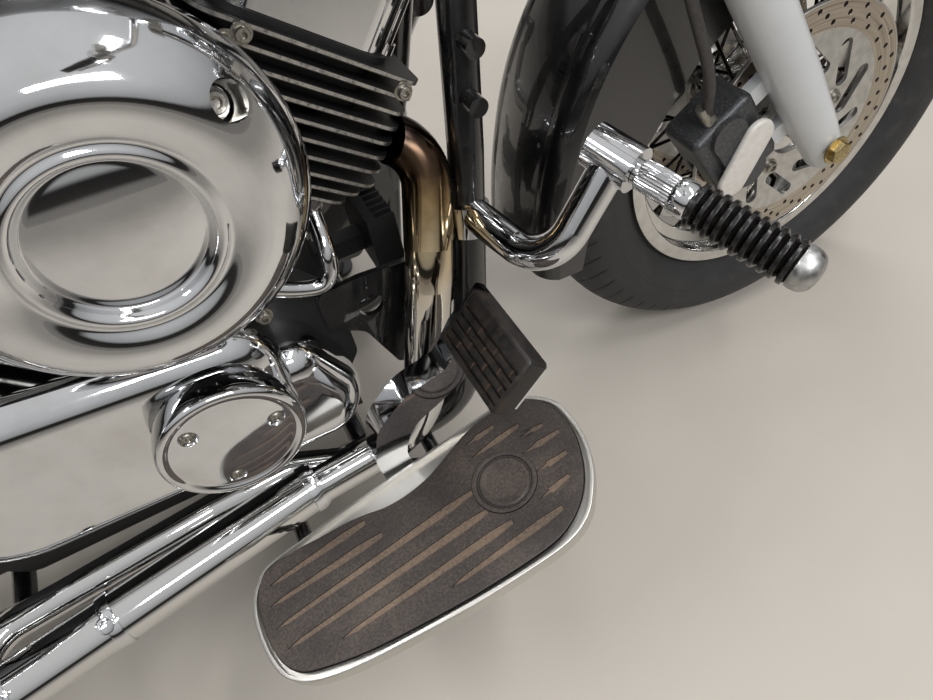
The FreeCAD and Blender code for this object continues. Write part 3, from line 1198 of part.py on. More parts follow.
def shift_lever():
    """Heel-and-toe gear lever on the left, turning on a pin on the footboard's front bracket."""
    pivot = shift_pivot()
    toe, heel = Vector(1212, SHIFT_Y, 330), Vector(826, SHIFT_Y, 300)
    rail = tube([toe, Vector(1150, SHIFT_Y, 296), pivot, Vector(860, SHIFT_Y, SHIFT_PIVOT_Z), heel], 7.0, 40.0)
    toes = [rod(end - LEFT * 6, end + LEFT * 62, 12.0) for end in (toe, heel)]
    half = LEFT * (SHIFT_HUB_W / 2)
    body = fused([rail, rod(pivot - half, pivot + half, LEVER_HUB_R)] + toes)
    return body.cut(rod(pivot - half * 2, pivot + half * 2, PIN_R + SEAT_GAP))


def guard(side):
    """Highway bar: a bent tube from a clamp on the downtube up to the sleeve that holds the peg."""
    start, bend, top = Vector(GUARD_START), Vector(GUARD_BEND), Vector(GUARD_TOP)
    bar = tube([start, bend, top], GUARD_R, GUARD_BEND_R)
    tube_up = Vector(31, 29, 150).normalize()
    clasp = ring(start - tube_up * 8, tube_up, DOWNTUBE_R + 4, DOWNTUBE_R, 30.0)
    low, high = [Vector(end) for end in SLEEVE_ENDS]
    end = Vector(PEG_END)
    sleeve = rod(low, high, GUARD_R + 4)
    stem = rod(high, end, PEG_STEM_R)
    cap_at = end - peg_direction() * PEG_CAP
    cap = turned([(0, 0, 0), (0, PEG_RUBBER_R, 2), (PEG_CAP - 6, PEG_RUBBER_R, 7), (PEG_CAP, 0, 0)], cap_at, peg_direction(), UP.cross(peg_direction()))
    body = bar.multiFuse([clasp, sleeve, stem, cap]).removeSplitter()
    body = body.cut(downtube(-1, DOWNTUBE_R + SEAT_GAP))
    return body if side < 0 else mirrored(body)


def peg_direction():
    return (Vector(PEG_END) - Vector(SLEEVE_ENDS[1])).normalize()


def peg_rubber(side):
    """Ribbed rubber sleeve over the peg's stem."""
    start = Vector(SLEEVE_ENDS[1]) + peg_direction() * PEG_RUBBER_START
    length = (Vector(PEG_END) - start).Length - PEG_CAP - SEAT_GAP
    pitch = length / PEG_RINGS
    corners = [(0, PEG_STEM_R + SEAT_GAP, 0)]
    for index in range(PEG_RINGS):
        a = index * pitch
        corners += [(a + (0.0 if index == 0 else 1.2), PEG_RUBBER_R - 2.0, 0), (a + pitch * 0.30, PEG_RING_R, 1.2), (a + pitch * 0.75, PEG_RING_R, 1.2)]
    corners += [(length, PEG_RUBBER_R - 2.0, 0), (length, PEG_STEM_R + SEAT_GAP, 0)]
    body = turned(corners, start, peg_direction(), UP.cross(peg_direction()))
    return body if side < 0 else mirrored(body)


def passenger_peg(side):
    y = PLATE_Y + PLATE_THICKNESS
    start = Vector(515, -y - SEAT_GAP, 262)
    body = fused([rod(start, start - LEFT * 34, 10.0), rod(start + Vector(-6, -30, 0), start + Vector(-6, -96, 6), 15.0)])
    return body if side < 0 else mirrored(body)


def rectifier():
    """Finned rectifier on the crankcase's front."""
    base = Part.makeBox(10, 96, 72, Vector(1100, -62, 352))
    fins = [Part.makeBox(20, 3, 72, Vector(1109, -62 + i * 93 / 9, 352)) for i in range(10)]
    lug = Part.makeBox(60, 20, 20, Vector(1046.3, -20, 362))
    return fused([base, lug] + fins)


def tail_light():
    """Tail lamp on the rear fender, with the rear turn lamps on a bar through its foot."""
    angle = math.radians(155)
    spot = REAR_AXLE + Vector(math.cos(angle), 0, math.sin(angle)) * (REAR_FENDER_R + 0.6)
    out = Vector(math.cos(angle), 0, math.sin(angle))
    up = Vector(-math.sin(angle), 0, math.cos(angle)) * -1
    corners = [(-34, -44, 20), (34, -44, 20), (34, 44, 20), (-34, 44, 20)]
    lamp = plate(corners, lambda a, y: spot + (-up) * a + LEFT * y - out * 20, out * 66)
    bar = spot + out * 30 + up * 18
    lamp = lamp.multiFuse(turn_lamps(bar, -1, INDICATOR_R)).removeSplitter()
    return lamp.cut(fender_shadow(REAR_AXLE, REAR_FENDER_R, REAR_FENDER_HALF_WIDTH, 262.0, 100.0, 192.0))


def stand_axis():
    """The side stand turns about the line that is square to both its down and its folded directions."""
    down = stand_foot() - stand_pivot()
    folded = Vector(-0.985, 0.10, -0.02)
    return down.cross(folded).normalize()


def stand_pivot():
    return Vector(STAND_PIVOT_X, STAND_PIVOT_Y, STAND_PIVOT_Z)


def ground_height(y):
    """Height of the real floor in the upright drawing, under a point y to the left, when the machine leans."""
    lean = math.radians(LEAN)
    drop = FRONT_CROWN_R * (1 - math.cos(lean))
    return (y * math.sin(lean) - drop) / math.cos(lean)


def stand_foot():
    return Vector(STAND_FOOT_X, STAND_FOOT_Y, ground_height(STAND_FOOT_Y))


def side_stand():
    """Side stand: a tube from its forked pivot to a flat foot that lies on the floor."""
    foot, pivot = stand_foot(), stand_pivot()
    lean = math.radians(LEAN)
    floor_up = Vector(0, -math.sin(lean), math.cos(lean))
    axis = stand_axis()
    reach = (foot + floor_up * 6 - pivot).normalize()
    leg = rod(pivot + reach * 36, foot + floor_up * 6, STAND_TUBE_R)
    pad = Part.makeCylinder(STAND_FOOT_R, 7.0, foot, floor_up)
    eye = Part.makeCylinder(17, 12, pivot - axis * 6, axis)
    neck = Part.makeBox(52, 26, 12, Vector(0, -13, -6))
    neck.Placement = FreeCAD.Placement(pivot, Rotation(reach, axis.cross(reach), axis, "XZY"))
    body = fused([leg, pad, eye, neck])
    return body.cut(Part.makeCylinder(6.1, 40, pivot - axis * 20, axis))


def stand_bracket():
    """Forked lug on the left cradle tube, with the stand's pivot bolt."""
    pivot, axis = stand_pivot(), stand_axis()
    inward = axis.cross(FORWARD).normalize()
    inward = inward if inward.y < 0 else -inward
    ears = []
    for low in (-14.8, 6.8):
        eye = Part.makeCylinder(16, 8, pivot + axis * low, axis)
        arm = Part.makeBox(32, 38, 8, Vector(-16, 0, 0))
        arm.Placement = FreeCAD.Placement(pivot + axis * low, Rotation(inward.cross(axis), inward, axis, "ZYX"))
        ears += [eye, arm]
    return ears + [Part.makeCylinder(6.0, 36, pivot - axis * 18, axis)]


def pair(make):
    """The right and the left one of a piece."""
    return Part.makeCompound([make(-1), make(1)])


# Every node, by name, with what makes it.
NODES = {
    "frame": frame,
    "swingarm": swingarm,
    "final_drive": final_drive,
    "rear_axle": rear_axle,
    "crankcase": crankcase,
    "clutch_cover": clutch_cover,
    "crank_cover": crank_cover,
    "left_cover": left_cover,
    "front_cylinder": lambda: finned_cylinder(1),
    "rear_cylinder": lambda: finned_cylinder(-1),
    "front_rocker_cover": lambda: rocker_cover(1),
    "rear_rocker_cover": lambda: rocker_cover(-1),
    "air_cleaner": air_cleaner,
    "carburettors": carburettors,
    "front_exhaust": front_exhaust,
    "rear_exhaust": rear_exhaust,
    "fuel_tank": tank,
    "tank_console": console,
    "rider_seat": rider_seat,
    "passenger_seat": passenger_seat,
    "rear_fender": rear_fender,
    "fender_rails": lambda: pair(fender_rail),
    "tail_light": tail_light,
    "side_covers": lambda: pair(side_cover),
    "battery_box": battery_box,
    "footboards": lambda: both_sides(board_tray()),
    "footboard_pads": lambda: both_sides(board_pad()),
    "brake_pedal": brake_pedal,
    "brake_pedal_pad": pedal_pad,
    "shift_lever": shift_lever,
    "highway_bars": lambda: pair(guard),
    "highway_peg_rubbers": lambda: pair(peg_rubber),
    "passenger_pegs": lambda: pair(passenger_peg),
    "rectifier": rectifier,
    "rear_caliper": rear_caliper,
    "fork_lowers": lambda: pair(fork_lower),
    "fork_tubes": lambda: pair(fork_tube),
    "triple_clamps": triple_clamps,
    "handlebar": handlebar,
    "grips": lambda: pair(grip),
    "controls": lambda: pair(control),
    "mirrors": lambda: pair(mirror_piece),
    "headlight": headlight,
    "headlight_lens": headlight_lens,
    "front_fender": front_fender,
    "front_axle": front_axle,
    "front_calipers": lambda: pair(front_caliper),
    "brake_hoses": lambda: pair(brake_hose),
    "front_tyre": lambda: tyre(FRONT_AXLE, FRONT_TYRE_R, FRONT_TYRE_W, FRONT_CROWN_R, FRONT_BEAD_R, FRONT_RIM_R, FRONT_RIM_W),
    "front_wheel": lambda: spoked_wheel(FRONT_AXLE, FRONT_RIM_R, FRONT_RIM_W, FRONT_BEAD_R, FRONT_HUB_W, FRONT_DISC_Y, (-1, 1)),
    "front_discs": lambda: pair(lambda side: brake_disc(FRONT_AXLE, side * FRONT_DISC_Y, FRONT_DISC_R)),
    "rear_tyre": lambda: tyre(REAR_AXLE, REAR_TYRE_R, REAR_TYRE_W, REAR_CROWN_R, REAR_BEAD_R, REAR_RIM_R, REAR_RIM_W),
    "rear_wheel": lambda: spoked_wheel(REAR_AXLE, REAR_RIM_R, REAR_RIM_W, REAR_BEAD_R, REAR_HUB_W, REAR_DISC_Y, (-1,)),
    "rear_disc": lambda: brake_disc(REAR_AXLE, -REAR_DISC_Y, REAR_DISC_R),
    "side_stand": side_stand,
}


def park(made):
    """Leans the whole machine onto its stand, and centres its box over the origin, standing on Z = 0."""
    lean = FreeCAD.Placement(Vector(0, 0, 0), Rotation(FORWARD, -LEAN))
    leaned = {}
    for name, shape in made.items():
        shape = shape.copy()
        shape.Placement = lean.multiply(shape.Placement)
        leaned[name] = shape
    boxes = [shape.optimalBoundingBox(True, False) for shape in leaned.values()]
    middle_x = (min(b.XMin for b in boxes) + max(b.XMax for b in boxes)) / 2
    middle_y = (min(b.YMin for b in boxes) + max(b.YMax for b in boxes)) / 2
    floor = min(b.ZMin for b in boxes)
    shift = Vector(-middle_x, -middle_y, -floor)
    for shape in leaned.values():
        shape.translate(shift)
    return leaned, FreeCAD.Placement(shift, lean.Rotation)


if __name__ == "__main__":
    parked, placement = park({name: make() for name, make in NODES.items()})
    os.makedirs("parts", exist_ok=True)
    for name, shape in parked.items():
        shape.exportStep(os.path.join("parts", name + ".step"))
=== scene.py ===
# Cruiser motorcycle, parked on its side stand.
import json
import math
import bpy
from mathutils import Euler, Matrix, Vector


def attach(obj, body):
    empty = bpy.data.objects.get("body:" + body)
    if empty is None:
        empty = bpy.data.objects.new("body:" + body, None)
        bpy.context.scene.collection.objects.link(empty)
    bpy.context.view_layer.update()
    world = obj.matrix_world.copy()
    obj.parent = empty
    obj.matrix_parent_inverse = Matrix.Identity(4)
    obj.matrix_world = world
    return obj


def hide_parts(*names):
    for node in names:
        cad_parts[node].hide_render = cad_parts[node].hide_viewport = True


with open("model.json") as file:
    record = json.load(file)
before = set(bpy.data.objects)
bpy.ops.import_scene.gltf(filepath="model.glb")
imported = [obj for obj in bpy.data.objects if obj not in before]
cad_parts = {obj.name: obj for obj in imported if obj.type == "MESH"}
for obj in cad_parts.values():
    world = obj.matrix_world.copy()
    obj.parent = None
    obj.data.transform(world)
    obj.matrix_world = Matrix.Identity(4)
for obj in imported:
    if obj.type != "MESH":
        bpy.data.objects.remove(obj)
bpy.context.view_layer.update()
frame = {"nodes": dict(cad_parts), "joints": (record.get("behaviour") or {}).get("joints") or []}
nodes = frame["nodes"]

# Viewpoint: a hand-held picture from above and behind the rider's right foot, looking down at the engine, the footboard
# and the front wheel. The machine leans ten degrees onto its stand. Places are measured on the upright machine, in
# millimetres (x ahead of the rear axle, y to its left, z above the ground), and PARKED puts them where it stands.
LEAN = math.radians(10)
rear_axle = Vector(next(j for j in frame["joints"] if j["name"] == "rear_wheel_spin")["pos_m"])
TYRE_RADIUS = 0.326
UPRIGHT = Matrix.Translation(rear_axle) @ Matrix.Rotation(-LEAN, 4, "X") @ Matrix.Translation((0, 0, -TYRE_RADIUS))
PARKED = UPRIGHT @ Matrix.Scale(0.001, 4)
bpy.ops.object.select_all(action="DESELECT")
bpy.ops.object.camera_add()
camera = bpy.context.object
camera.name = "camera"
camera.data.sensor_width = 36
camera.data.lens = 36 * 699.4 / 933
camera.data.clip_start = 0.02
stance = Euler([math.radians(a) for a in (40.125, 7.418, -26.830)]).to_matrix().to_4x4()
camera.matrix_world = UPRIGHT @ Matrix.Translation((0.9979, -0.5989, 0.8433)) @ stance
bpy.context.scene.camera = camera
bpy.context.scene.view_settings.view_transform = "Standard"


# Hall: a plain pale floor under a white ceiling, with a darker band of far wall between them and long soft lamps,
# which is what the chrome shows.
def linear(colour):
    """The scene-linear colour of an sRGB hex value."""
    levels = [int(colour[i:i + 2], 16) / 255 for i in (1, 3, 5)]
    return [v / 12.92 if v <= 0.04045 else ((v + 0.055) / 1.055) ** 2.4 for v in levels] + [1.0]


def add_node(material, kind, settings=(), links=()):
    """Adds a shader node. Settings are (property or socket, value), or a ramp's "stops" as (place, hex colour), and
    links are (input socket, the node or output socket that feeds it)."""
    tree = material.node_tree
    node = tree.nodes.new("ShaderNode" + kind)
    for key, value in settings:
        if key == "stops":
            elements = node.color_ramp.elements
            while len(elements) < len(value):
                elements.new(0.5)
            for element, (place, colour) in zip(elements, value):
                element.position = place
            for element, (place, colour) in zip(elements, value):
                element.color = linear(colour)
        elif isinstance(key, str) and not key[0].isupper():
            setattr(node, key, value)
        else:
            node.inputs[key].default_value = value
    for key, source in links:
        tree.links.new(source.outputs[0] if hasattr(source, "outputs") else source, node.inputs[key])
    return node


def finish_of(name, colour, roughness, metallic=0.0, coat=0.0):
    """A new material whose shader has its plain values; returns the material and the shader."""
    material = bpy.data.materials.new(name)
    material.use_nodes = True
    shader = material.node_tree.nodes["Principled BSDF"]
    shader.inputs["Base Color"].default_value = linear(colour)
    shader.inputs["Roughness"].default_value = roughness
    shader.inputs["Metallic"].default_value = metallic
    shader.inputs["Coat Weight"].default_value = coat
    shader.inputs["Coat Roughness"].default_value = 0.03
    return material, shader


def surface(material, shader, **sources):
    """Links nodes or sockets to the shader: colour, roughness, metallic and normal."""
    for key, source in sources.items():
        socket = {"colour": "Base Color"}.get(key, key.capitalize())
        material.node_tree.links.new(source.outputs[0] if hasattr(source, "outputs") else source, shader.inputs[socket])


def worn(material, shader, scale, stops, roughness, bump=0.0, detail=6.0):
    """Mottles a finish: a noise (its scale in marks a metre) through stops of colour, between two roughnesses, with a
    bump in metres; returns the nodes of colour and roughness."""
    place = add_node(material, "TexCoord").outputs["Object"]
    noise = add_node(material, "TexNoise", [("Scale", scale), ("Detail", detail), ("Roughness", 0.6)],
                     [("Vector", place)])
    spread = add_node(material, "MapRange", [("From Min", 0.32), ("From Max", 0.68)], [("Value", noise)])
    colour = add_node(material, "ValToRGB", [("stops", stops)], [("Fac", spread)])
    dull = add_node(material, "MapRange", [("From Min", 0.3), ("From Max", 0.7), ("To Min", roughness[0]),
                                           ("To Max", roughness[1])], [("Value", noise)])
    surface(material, shader, colour=colour, roughness=dull)
    if bump:
        raised = add_node(material, "Bump", [("Distance", bump), ("Strength", 1.0)], [("Height", noise)])
        surface(material, shader, normal=raised)
    return colour, dull


bpy.ops.object.select_all(action="DESELECT")
bpy.ops.mesh.primitive_plane_add(size=40, location=(0, 0, 0))
floor = bpy.context.object
floor.name = "floor"
# Sealed concrete: pale and matt, clouded over about 450 mm.
floor_paint, shader = finish_of("floor_sealed_concrete", "#BDB6AC", 0.6)
worn(floor_paint, shader, 2.2, [(0.0, "#BAB3A9"), (1.0, "#C0B9AF")], (0.55, 0.65))
floor.data.materials.append(floor_paint)

world = bpy.data.worlds.new("hall")
bpy.context.scene.world = world
world.use_nodes = True
HALL = [(0.0, "#9A9690"), (0.13, "#8C8883"), (0.17, "#3A3836"), (0.30, "#2C2B2A"), (0.36, "#B9B9B8"), (0.62, "#E6E7E8"),
        (1.0, "#FFFFFF")]
direction = add_node(world, "TexCoord").outputs["Generated"]
split = add_node(world, "SeparateXYZ", links=[("Vector", direction)])
height = add_node(world, "MapRange", [("From Min", -0.1), ("From Max", 1.0)], [("Value", split.outputs["Z"])])
hall = add_node(world, "ValToRGB", [("stops", HALL)], [("Fac", height)])
background = world.node_tree.nodes["Background"]
background.inputs["Strength"].default_value = 0.68
world.node_tree.links.new(hall.outputs["Color"], background.inputs["Color"])
backdrop = add_node(world, "Background", [("Color", linear("#D5D2CD")), ("Strength", 1.0)])
seen = add_node(world, "LightPath").outputs["Is Camera Ray"]
either = add_node(world, "MixShader", links=[(0, seen), (1, background), (2, backdrop)])
world.node_tree.links.new(either.outputs[0], world.node_tree.nodes["World Output"].inputs["Surface"])

LAMPS = (((0.5, -1.5, 2.4), 1.3, 25), ((-1.2, 0.4, 2.7), 1.5, 22), ((1.6, 1.5, 2.4), 1.2, 18),
         ((1.2, -0.4, 2.6), 1.0, 15))
for place, length, power in LAMPS:
    bpy.ops.object.light_add(type="AREA", location=place)
    lamp = bpy.context.object
    lamp.data.shape = "RECTANGLE"
    lamp.data.size, lamp.data.size_y = length, length * 0.22
    lamp.data.energy = power
    lamp.rotation_euler = (Vector((0.3, 0, 0.4)) - Vector(place)).to_track_quat("-Z", "Y").to_euler()


# Frame and other gloss black parts: bent steel tube and pressed sheet in black enamel under clear lacquer, with
# fine dust settled on what faces up.
def measured(material):
    """Places on the upright machine, in metres, for a pattern that goes by them."""
    shift = Vector((0, 0, TYRE_RADIUS)) - Matrix.Rotation(LEAN, 3, "X") @ rear_axle
    place = add_node(material, "TexCoord").outputs["Object"]
    return add_node(material, "Mapping", [("Location", shift), ("Rotation", (LEAN, 0, 0))], [("Vector", place)])


def paint(material, *names):
    """Gives carried-over parts their finish."""
    for name in names:
        mesh = nodes[name].data
        mesh.materials.clear()
        mesh.materials.append(material)


# Enamel under lacquer: a deep black with one sharp reflection, clouded by dust over about 15 mm.
black_enamel, shader = finish_of("black_enamel_under_lacquer", "#08080A", 0.3, coat=1.0)
worn(black_enamel, shader, 60.0, [(0.0, "#060607"), (0.7, "#0A0A0C"), (1.0, "#131314")], (0.24, 0.4))
paint(black_enamel, "frame", "fuel_tank", "rear_fender", "front_fender", "side_covers", "swingarm", "rear_caliper")
# Paint on a sand casting: satin, with the sand's grain of about 1 mm showing through.
black_casting, shader = finish_of("black_painted_casting", "#19191A", 0.5)
worn(black_casting, shader, 900.0, [(0.0, "#101011"), (0.8, "#1B1B1C"), (1.0, "#2B2A28")], (0.4, 0.62), 0.00012)
paint(black_casting, "crankcase", "carburettors", "rectifier", "battery_box")


# Cylinders: cast aluminium barrels and heads painted satin black, the edges of their fins machined bright.
def finned(side, name):
    """Black paint, with bare metal on the fins' outer edges; side is 1 for the front cylinder, -1 for the rear."""
    material, shader = finish_of(name, "#141415", 0.5)
    # Satin paint with a casting's grain of about 1.4 mm.
    dark, dull = worn(material, shader, 700.0, [(0.0, "#0D0D0E"), (0.75, "#171718"), (1.0, "#242322")],
                      (0.38, 0.6), 0.0001)
    place = measured(material)
    tilt = math.radians(37.5)
    upward = Vector((side * math.sin(tilt), 0, math.cos(tilt)))
    forward = Vector((side * math.cos(tilt), 0, -math.sin(tilt)))
    # Bare metal lies at the fins' outline, 96 mm along the machine and 86 mm across it from the barrel's middle.
    from_crank = add_node(material, "VectorMath", [("operation", "SUBTRACT"), (1, (0.912, 0, 0.374))], [(0, place)])
    along = add_node(material, "VectorMath", [("operation", "DOT_PRODUCT"), (1, forward)], [(0, from_crank)])
    centred = add_node(material, "Math", [("operation", "SUBTRACT"), (1, 0.007)], [(0, along.outputs["Value"])])
    length = add_node(material, "Math", [("operation", "ABSOLUTE")], [(0, centred)])
    parts = add_node(material, "SeparateXYZ", links=[("Vector", place)])
    width = add_node(material, "Math", [("operation", "ABSOLUTE")], [(0, parts.outputs["Y"])])
    length_share = add_node(material, "MapRange", [("From Max", 0.096)], [("Value", length)])
    width_share = add_node(material, "MapRange", [("From Max", 0.086)], [("Value", width)])
    reach = add_node(material, "Math", [("operation", "MAXIMUM")], [(0, length_share), (1, width_share)])
    outer = add_node(material, "MapRange", [("From Min", 0.80), ("From Max", 0.84)], [("Value", reach)])
    # It lies on what faces outwards, not on the fins' broad tops and undersides.
    normal = add_node(material, "NewGeometry").outputs["Normal"]
    axis = UPRIGHT.to_3x3() @ upward
    facing = add_node(material, "VectorMath", [("operation", "DOT_PRODUCT"), (1, axis)], [(0, normal)])
    slope = add_node(material, "Math", [("operation", "ABSOLUTE")], [(0, facing.outputs["Value"])])
    edge = add_node(material, "MapRange", [("From Min", 0.35), ("From Max", 0.45), ("To Min", 1.0), ("To Max", 0.0)],
                    [("Value", slope)])
    # The fins stand 13.8 mm apart, the first 172 mm above the crank, and each is machined along its middle.
    rise = add_node(material, "VectorMath", [("operation", "DOT_PRODUCT"), (1, upward)], [(0, from_crank)])
    first = add_node(material, "Math", [("operation", "SUBTRACT"), (1, 0.172)], [(0, rise.outputs["Value"])])
    count = add_node(material, "Math", [("operation", "DIVIDE"), (1, 0.0138)], [(0, first)])
    share = add_node(material, "Math", [("operation", "FRACT")], [(0, count)])
    offset = add_node(material, "Math", [("operation", "SUBTRACT"), (1, 0.155)], [(0, share)])
    distance = add_node(material, "Math", [("operation", "ABSOLUTE")], [(0, offset)])
    middle = add_node(material, "MapRange", [("From Min", 0.085), ("From Max", 0.115), ("To Min", 1.0), ("To Max", 0.0)],
                      [("Value", distance)])
    # Dirt in specks of about 4 mm hides part of it again.
    grime = add_node(material, "TexNoise", [("Scale", 260.0), ("Detail", 5.0)], [("Vector", place)])
    clean = add_node(material, "MapRange", [("From Min", 0.30), ("From Max", 0.42), ("To Min", 0.45), ("To Max", 1.0)],
                     [("Value", grime)])
    bare = add_node(material, "Math", [("operation", "MULTIPLY")], [(0, edge), (1, middle)])
    bare = add_node(material, "Math", [("operation", "MULTIPLY")], [(0, outer), (1, bare)])
    bare = add_node(material, "Math", [("operation", "MULTIPLY")], [(0, bare), (1, clean)])
    silver = add_node(material, "ValToRGB", [("stops", [(0.3, "#A3A19B"), (0.7, "#D2D0CA")])], [("Fac", grime)])
    colour = add_node(material, "Mix", [("data_type", "RGBA")], [(0, bare), (6, dark), (7, silver)])
    rough = add_node(material, "Mix", [("data_type", "FLOAT"), (3, 0.34)], [(0, bare), (2, dull)])
    surface(material, shader, colour=colour.outputs[2], roughness=rough, metallic=bare)
    return material


paint(finned(1, "front_fins_black_paint_bright_edges"), "front_cylinder")
paint(finned(-1, "rear_fins_black_paint_bright_edges"), "rear_cylinder")

# Chromed covers, levers and mufflers: polished steel and castings under chrome, with the faint haze and wiped
# streaks of a machine that is ridden, clouded over about 70 mm, so that it mirrors the hall almost sharply.
chrome_plate, shader = finish_of("chrome_plate_on_steel", "#D6D8DA", 0.045, 1.0)
worn(chrome_plate, shader, 14.0, [(0.0, "#CFCFCF"), (0.6, "#DCDDDF"), (1.0, "#E2E3E4")], (0.03, 0.085))
paint(chrome_plate, "clutch_cover", "crank_cover", "left_cover", "front_rocker_cover", "rear_rocker_cover", "air_cleaner",
      "tank_console", "fender_rails", "brake_pedal", "shift_lever", "highway_bars", "passenger_pegs", "fork_tubes",
      "handlebar", "mirrors", "headlight", "rear_exhaust")

# Front pipe: chromed steel, blued to straw, bronze and dark brown where it leaves the cylinder's port, from 300 to
# 520 mm above the ground, in streaks of about 40 mm; the darkest part is also the dullest.
tinted_chrome, shader = finish_of("chrome_tinted_by_heat", "#D0CBC4", 0.06, 1.0)
TINTS = [(0.0, "#D9D9D8"), (0.35, "#D6D0C6"), (0.56, "#C8B592"), (0.72, "#937A55"), (0.86, "#4E3D2E"), (1.0, "#2E2622")]
place = measured(tinted_chrome)
streaks = add_node(tinted_chrome, "TexNoise", [("Scale", 24.0), ("Detail", 4.0)], [("Vector", place)])
parts = add_node(tinted_chrome, "SeparateXYZ", links=[("Vector", place)])
drift = add_node(tinted_chrome, "MapRange", [("From Min", 0.3), ("From Max", 0.7), ("To Min", -0.018), ("To Max", 0.018)],
                 [("Value", streaks)])
level = add_node(tinted_chrome, "Math", [("operation", "ADD")], [(0, parts.outputs["Z"]), (1, drift)])
heat = add_node(tinted_chrome, "MapRange", [("From Min", 0.300), ("From Max", 0.520)], [("Value", level)])
tint = add_node(tinted_chrome, "ValToRGB", [("stops", TINTS)], [("Fac", heat)])
dulled = add_node(tinted_chrome, "MapRange", [("From Min", 0.4), ("From Max", 1.0), ("To Min", 0.05), ("To Max", 0.22)],
                  [("Value", heat)])
surface(tinted_chrome, shader, colour=tint, roughness=dulled)
paint(tinted_chrome, "front_exhaust")


# Air cleaner: a pressed and chromed drum with a broad rolled shoulder, an inner lip and a domed centre, held by a
# socket screw in a pocket of the shoulder.
def spun(name, profile, foot, axis, steps=72, smooth=0):
    """A turned piece: a line of points (along the axis, radius), drawn from a single point and spun about the axis."""
    bpy.ops.object.select_all(action="DESELECT")
    bpy.ops.mesh.primitive_plane_add(size=1)
    piece = bpy.context.object
    piece.name = name
    bpy.ops.object.mode_set(mode="EDIT")
    bpy.ops.mesh.merge(type="CENTER")
    bpy.ops.transform.translate(value=(profile[0][1], 0, profile[0][0]))
    for before, after in zip(profile, profile[1:]):
        move = (after[1] - before[1], 0, after[0] - before[0])
        bpy.ops.mesh.extrude_region_move(TRANSFORM_OT_translate={"value": move})
    bpy.ops.mesh.select_all(action="SELECT")
    bpy.ops.mesh.spin(steps=steps, angle=math.tau, center=(0, 0, 0), axis=(0, 0, 1))
    bpy.ops.mesh.select_all(action="SELECT")
    bpy.ops.mesh.remove_doubles(threshold=0.001)
    bpy.ops.mesh.normals_make_consistent(inside=False)
    bpy.ops.object.mode_set(mode="OBJECT")
    if smooth:
        rounded = piece.modifiers.new("rounded", "SUBSURF")
        rounded.levels = rounded.render_levels = smooth
        bpy.ops.object.modifier_apply(modifier="rounded")
    piece.data.transform(PARKED @ Matrix.Translation(foot) @ Vector(axis).to_track_quat("Z", "Y").to_matrix().to_4x4())
    bpy.ops.object.shade_smooth_by_angle(angle=math.radians(40))
    return piece


def fitted(piece, material, body, slot, *replaced):
    """Gives a finished piece its material and its body, and names the CAD nodes that it stands for. The slot is not
    used.
    """
    piece.data.materials.clear()
    piece.data.materials.append(material)
    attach(piece, body)
    if replaced:
        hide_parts(*replaced)
    return piece


def cut_by(piece, cutter):
    """Takes a cutter's shape out of a piece, as a milled pocket, and clears the cutter away."""
    bpy.ops.object.select_all(action="DESELECT")
    piece.select_set(True)
    bpy.context.view_layer.objects.active = piece
    pocket = piece.modifiers.new("pocket", "BOOLEAN")
    pocket.operation, pocket.solver, pocket.object = "DIFFERENCE", "EXACT", cutter
    bpy.ops.object.modifier_apply(modifier="pocket")
    bpy.data.objects.remove(cutter)
    bpy.ops.object.shade_smooth_by_angle(angle=math.radians(40))


RIGHT = Vector((0, -1, 0))
DRUM = [(0, 0), (0, 100), (0.5, 110), (3, 112.5), (10, 116), (18, 120), (30, 122), (42, 120), (54, 115), (65, 108),
        (74, 99.5), (80, 91), (81.8, 83), (80.8, 74), (78, 67), (75.5, 63.5), (74.5, 61.6), (75.5, 59.5), (77.6, 57),
        (77.8, 54.5), (75, 51.5), (70, 49.6), (68.6, 48.2), (69.6, 46.5), (72.5, 37), (74.8, 24), (76, 11), (76.3, 0)]
SCREW_OUT = (0.34, -0.86, 0.38)
drum = spun("air_cleaner_drum", DRUM, (931, -158, 609.5), RIGHT, 64, 1)
pocket = spun("pocket_cutter", [(-14, 0), (-14, 9), (-6, 11), (40, 12.5), (40, 0)], (1012, -214, 657), SCREW_OUT, 32)
cut_by(drum, pocket)
fitted(drum, chrome_plate, "chassis", "chrome", "air_cleaner")
duct = spun("air_cleaner_duct", [(0, 0), (0, 38), (100, 38), (100, 0)], (920, -158, 615.5), (0, 1, 0), 48)
fitted(duct, black_casting, "chassis", "black_engine")


# Screws: zinc-plated socket and hexagon screws with washers, dulled and a little rusted in their recesses.
def socket_screw(radius, rise):
    """A socket screw's head at the origin, with its washer and its recess for a hexagon key."""
    return [(0, 0), (0, radius * 1.45), (radius * 0.22, radius * 1.45), (radius * 0.25, radius * 1.05), (rise, radius),
            (rise + radius * 0.12, radius * 0.9), (rise + radius * 0.12, radius * 0.55), (radius * 0.5, radius * 0.5),
            (radius * 0.4, 0)]


def screws(name, places, profile, material, body, slot, steps=20):
    """Copies of one turned head at places (point, outward axis), joined as one piece."""
    heads = []
    for index, (point, axis) in enumerate(places):
        heads.append(spun("%s_%d" % (name, index), profile, point, axis, steps))
    return together(name, heads, material, body, slot)


def together(name, pieces, material, body, slot, *replaced):
    """Joins pieces of one finish that ride on one body."""
    bpy.ops.object.select_all(action="DESELECT")
    for piece in pieces:
        piece.select_set(True)
    bpy.context.view_layer.objects.active = pieces[0]
    if len(pieces) > 1:
        bpy.ops.object.join()
    pieces[0].name = name
    return fitted(pieces[0], material, body, slot, *replaced)


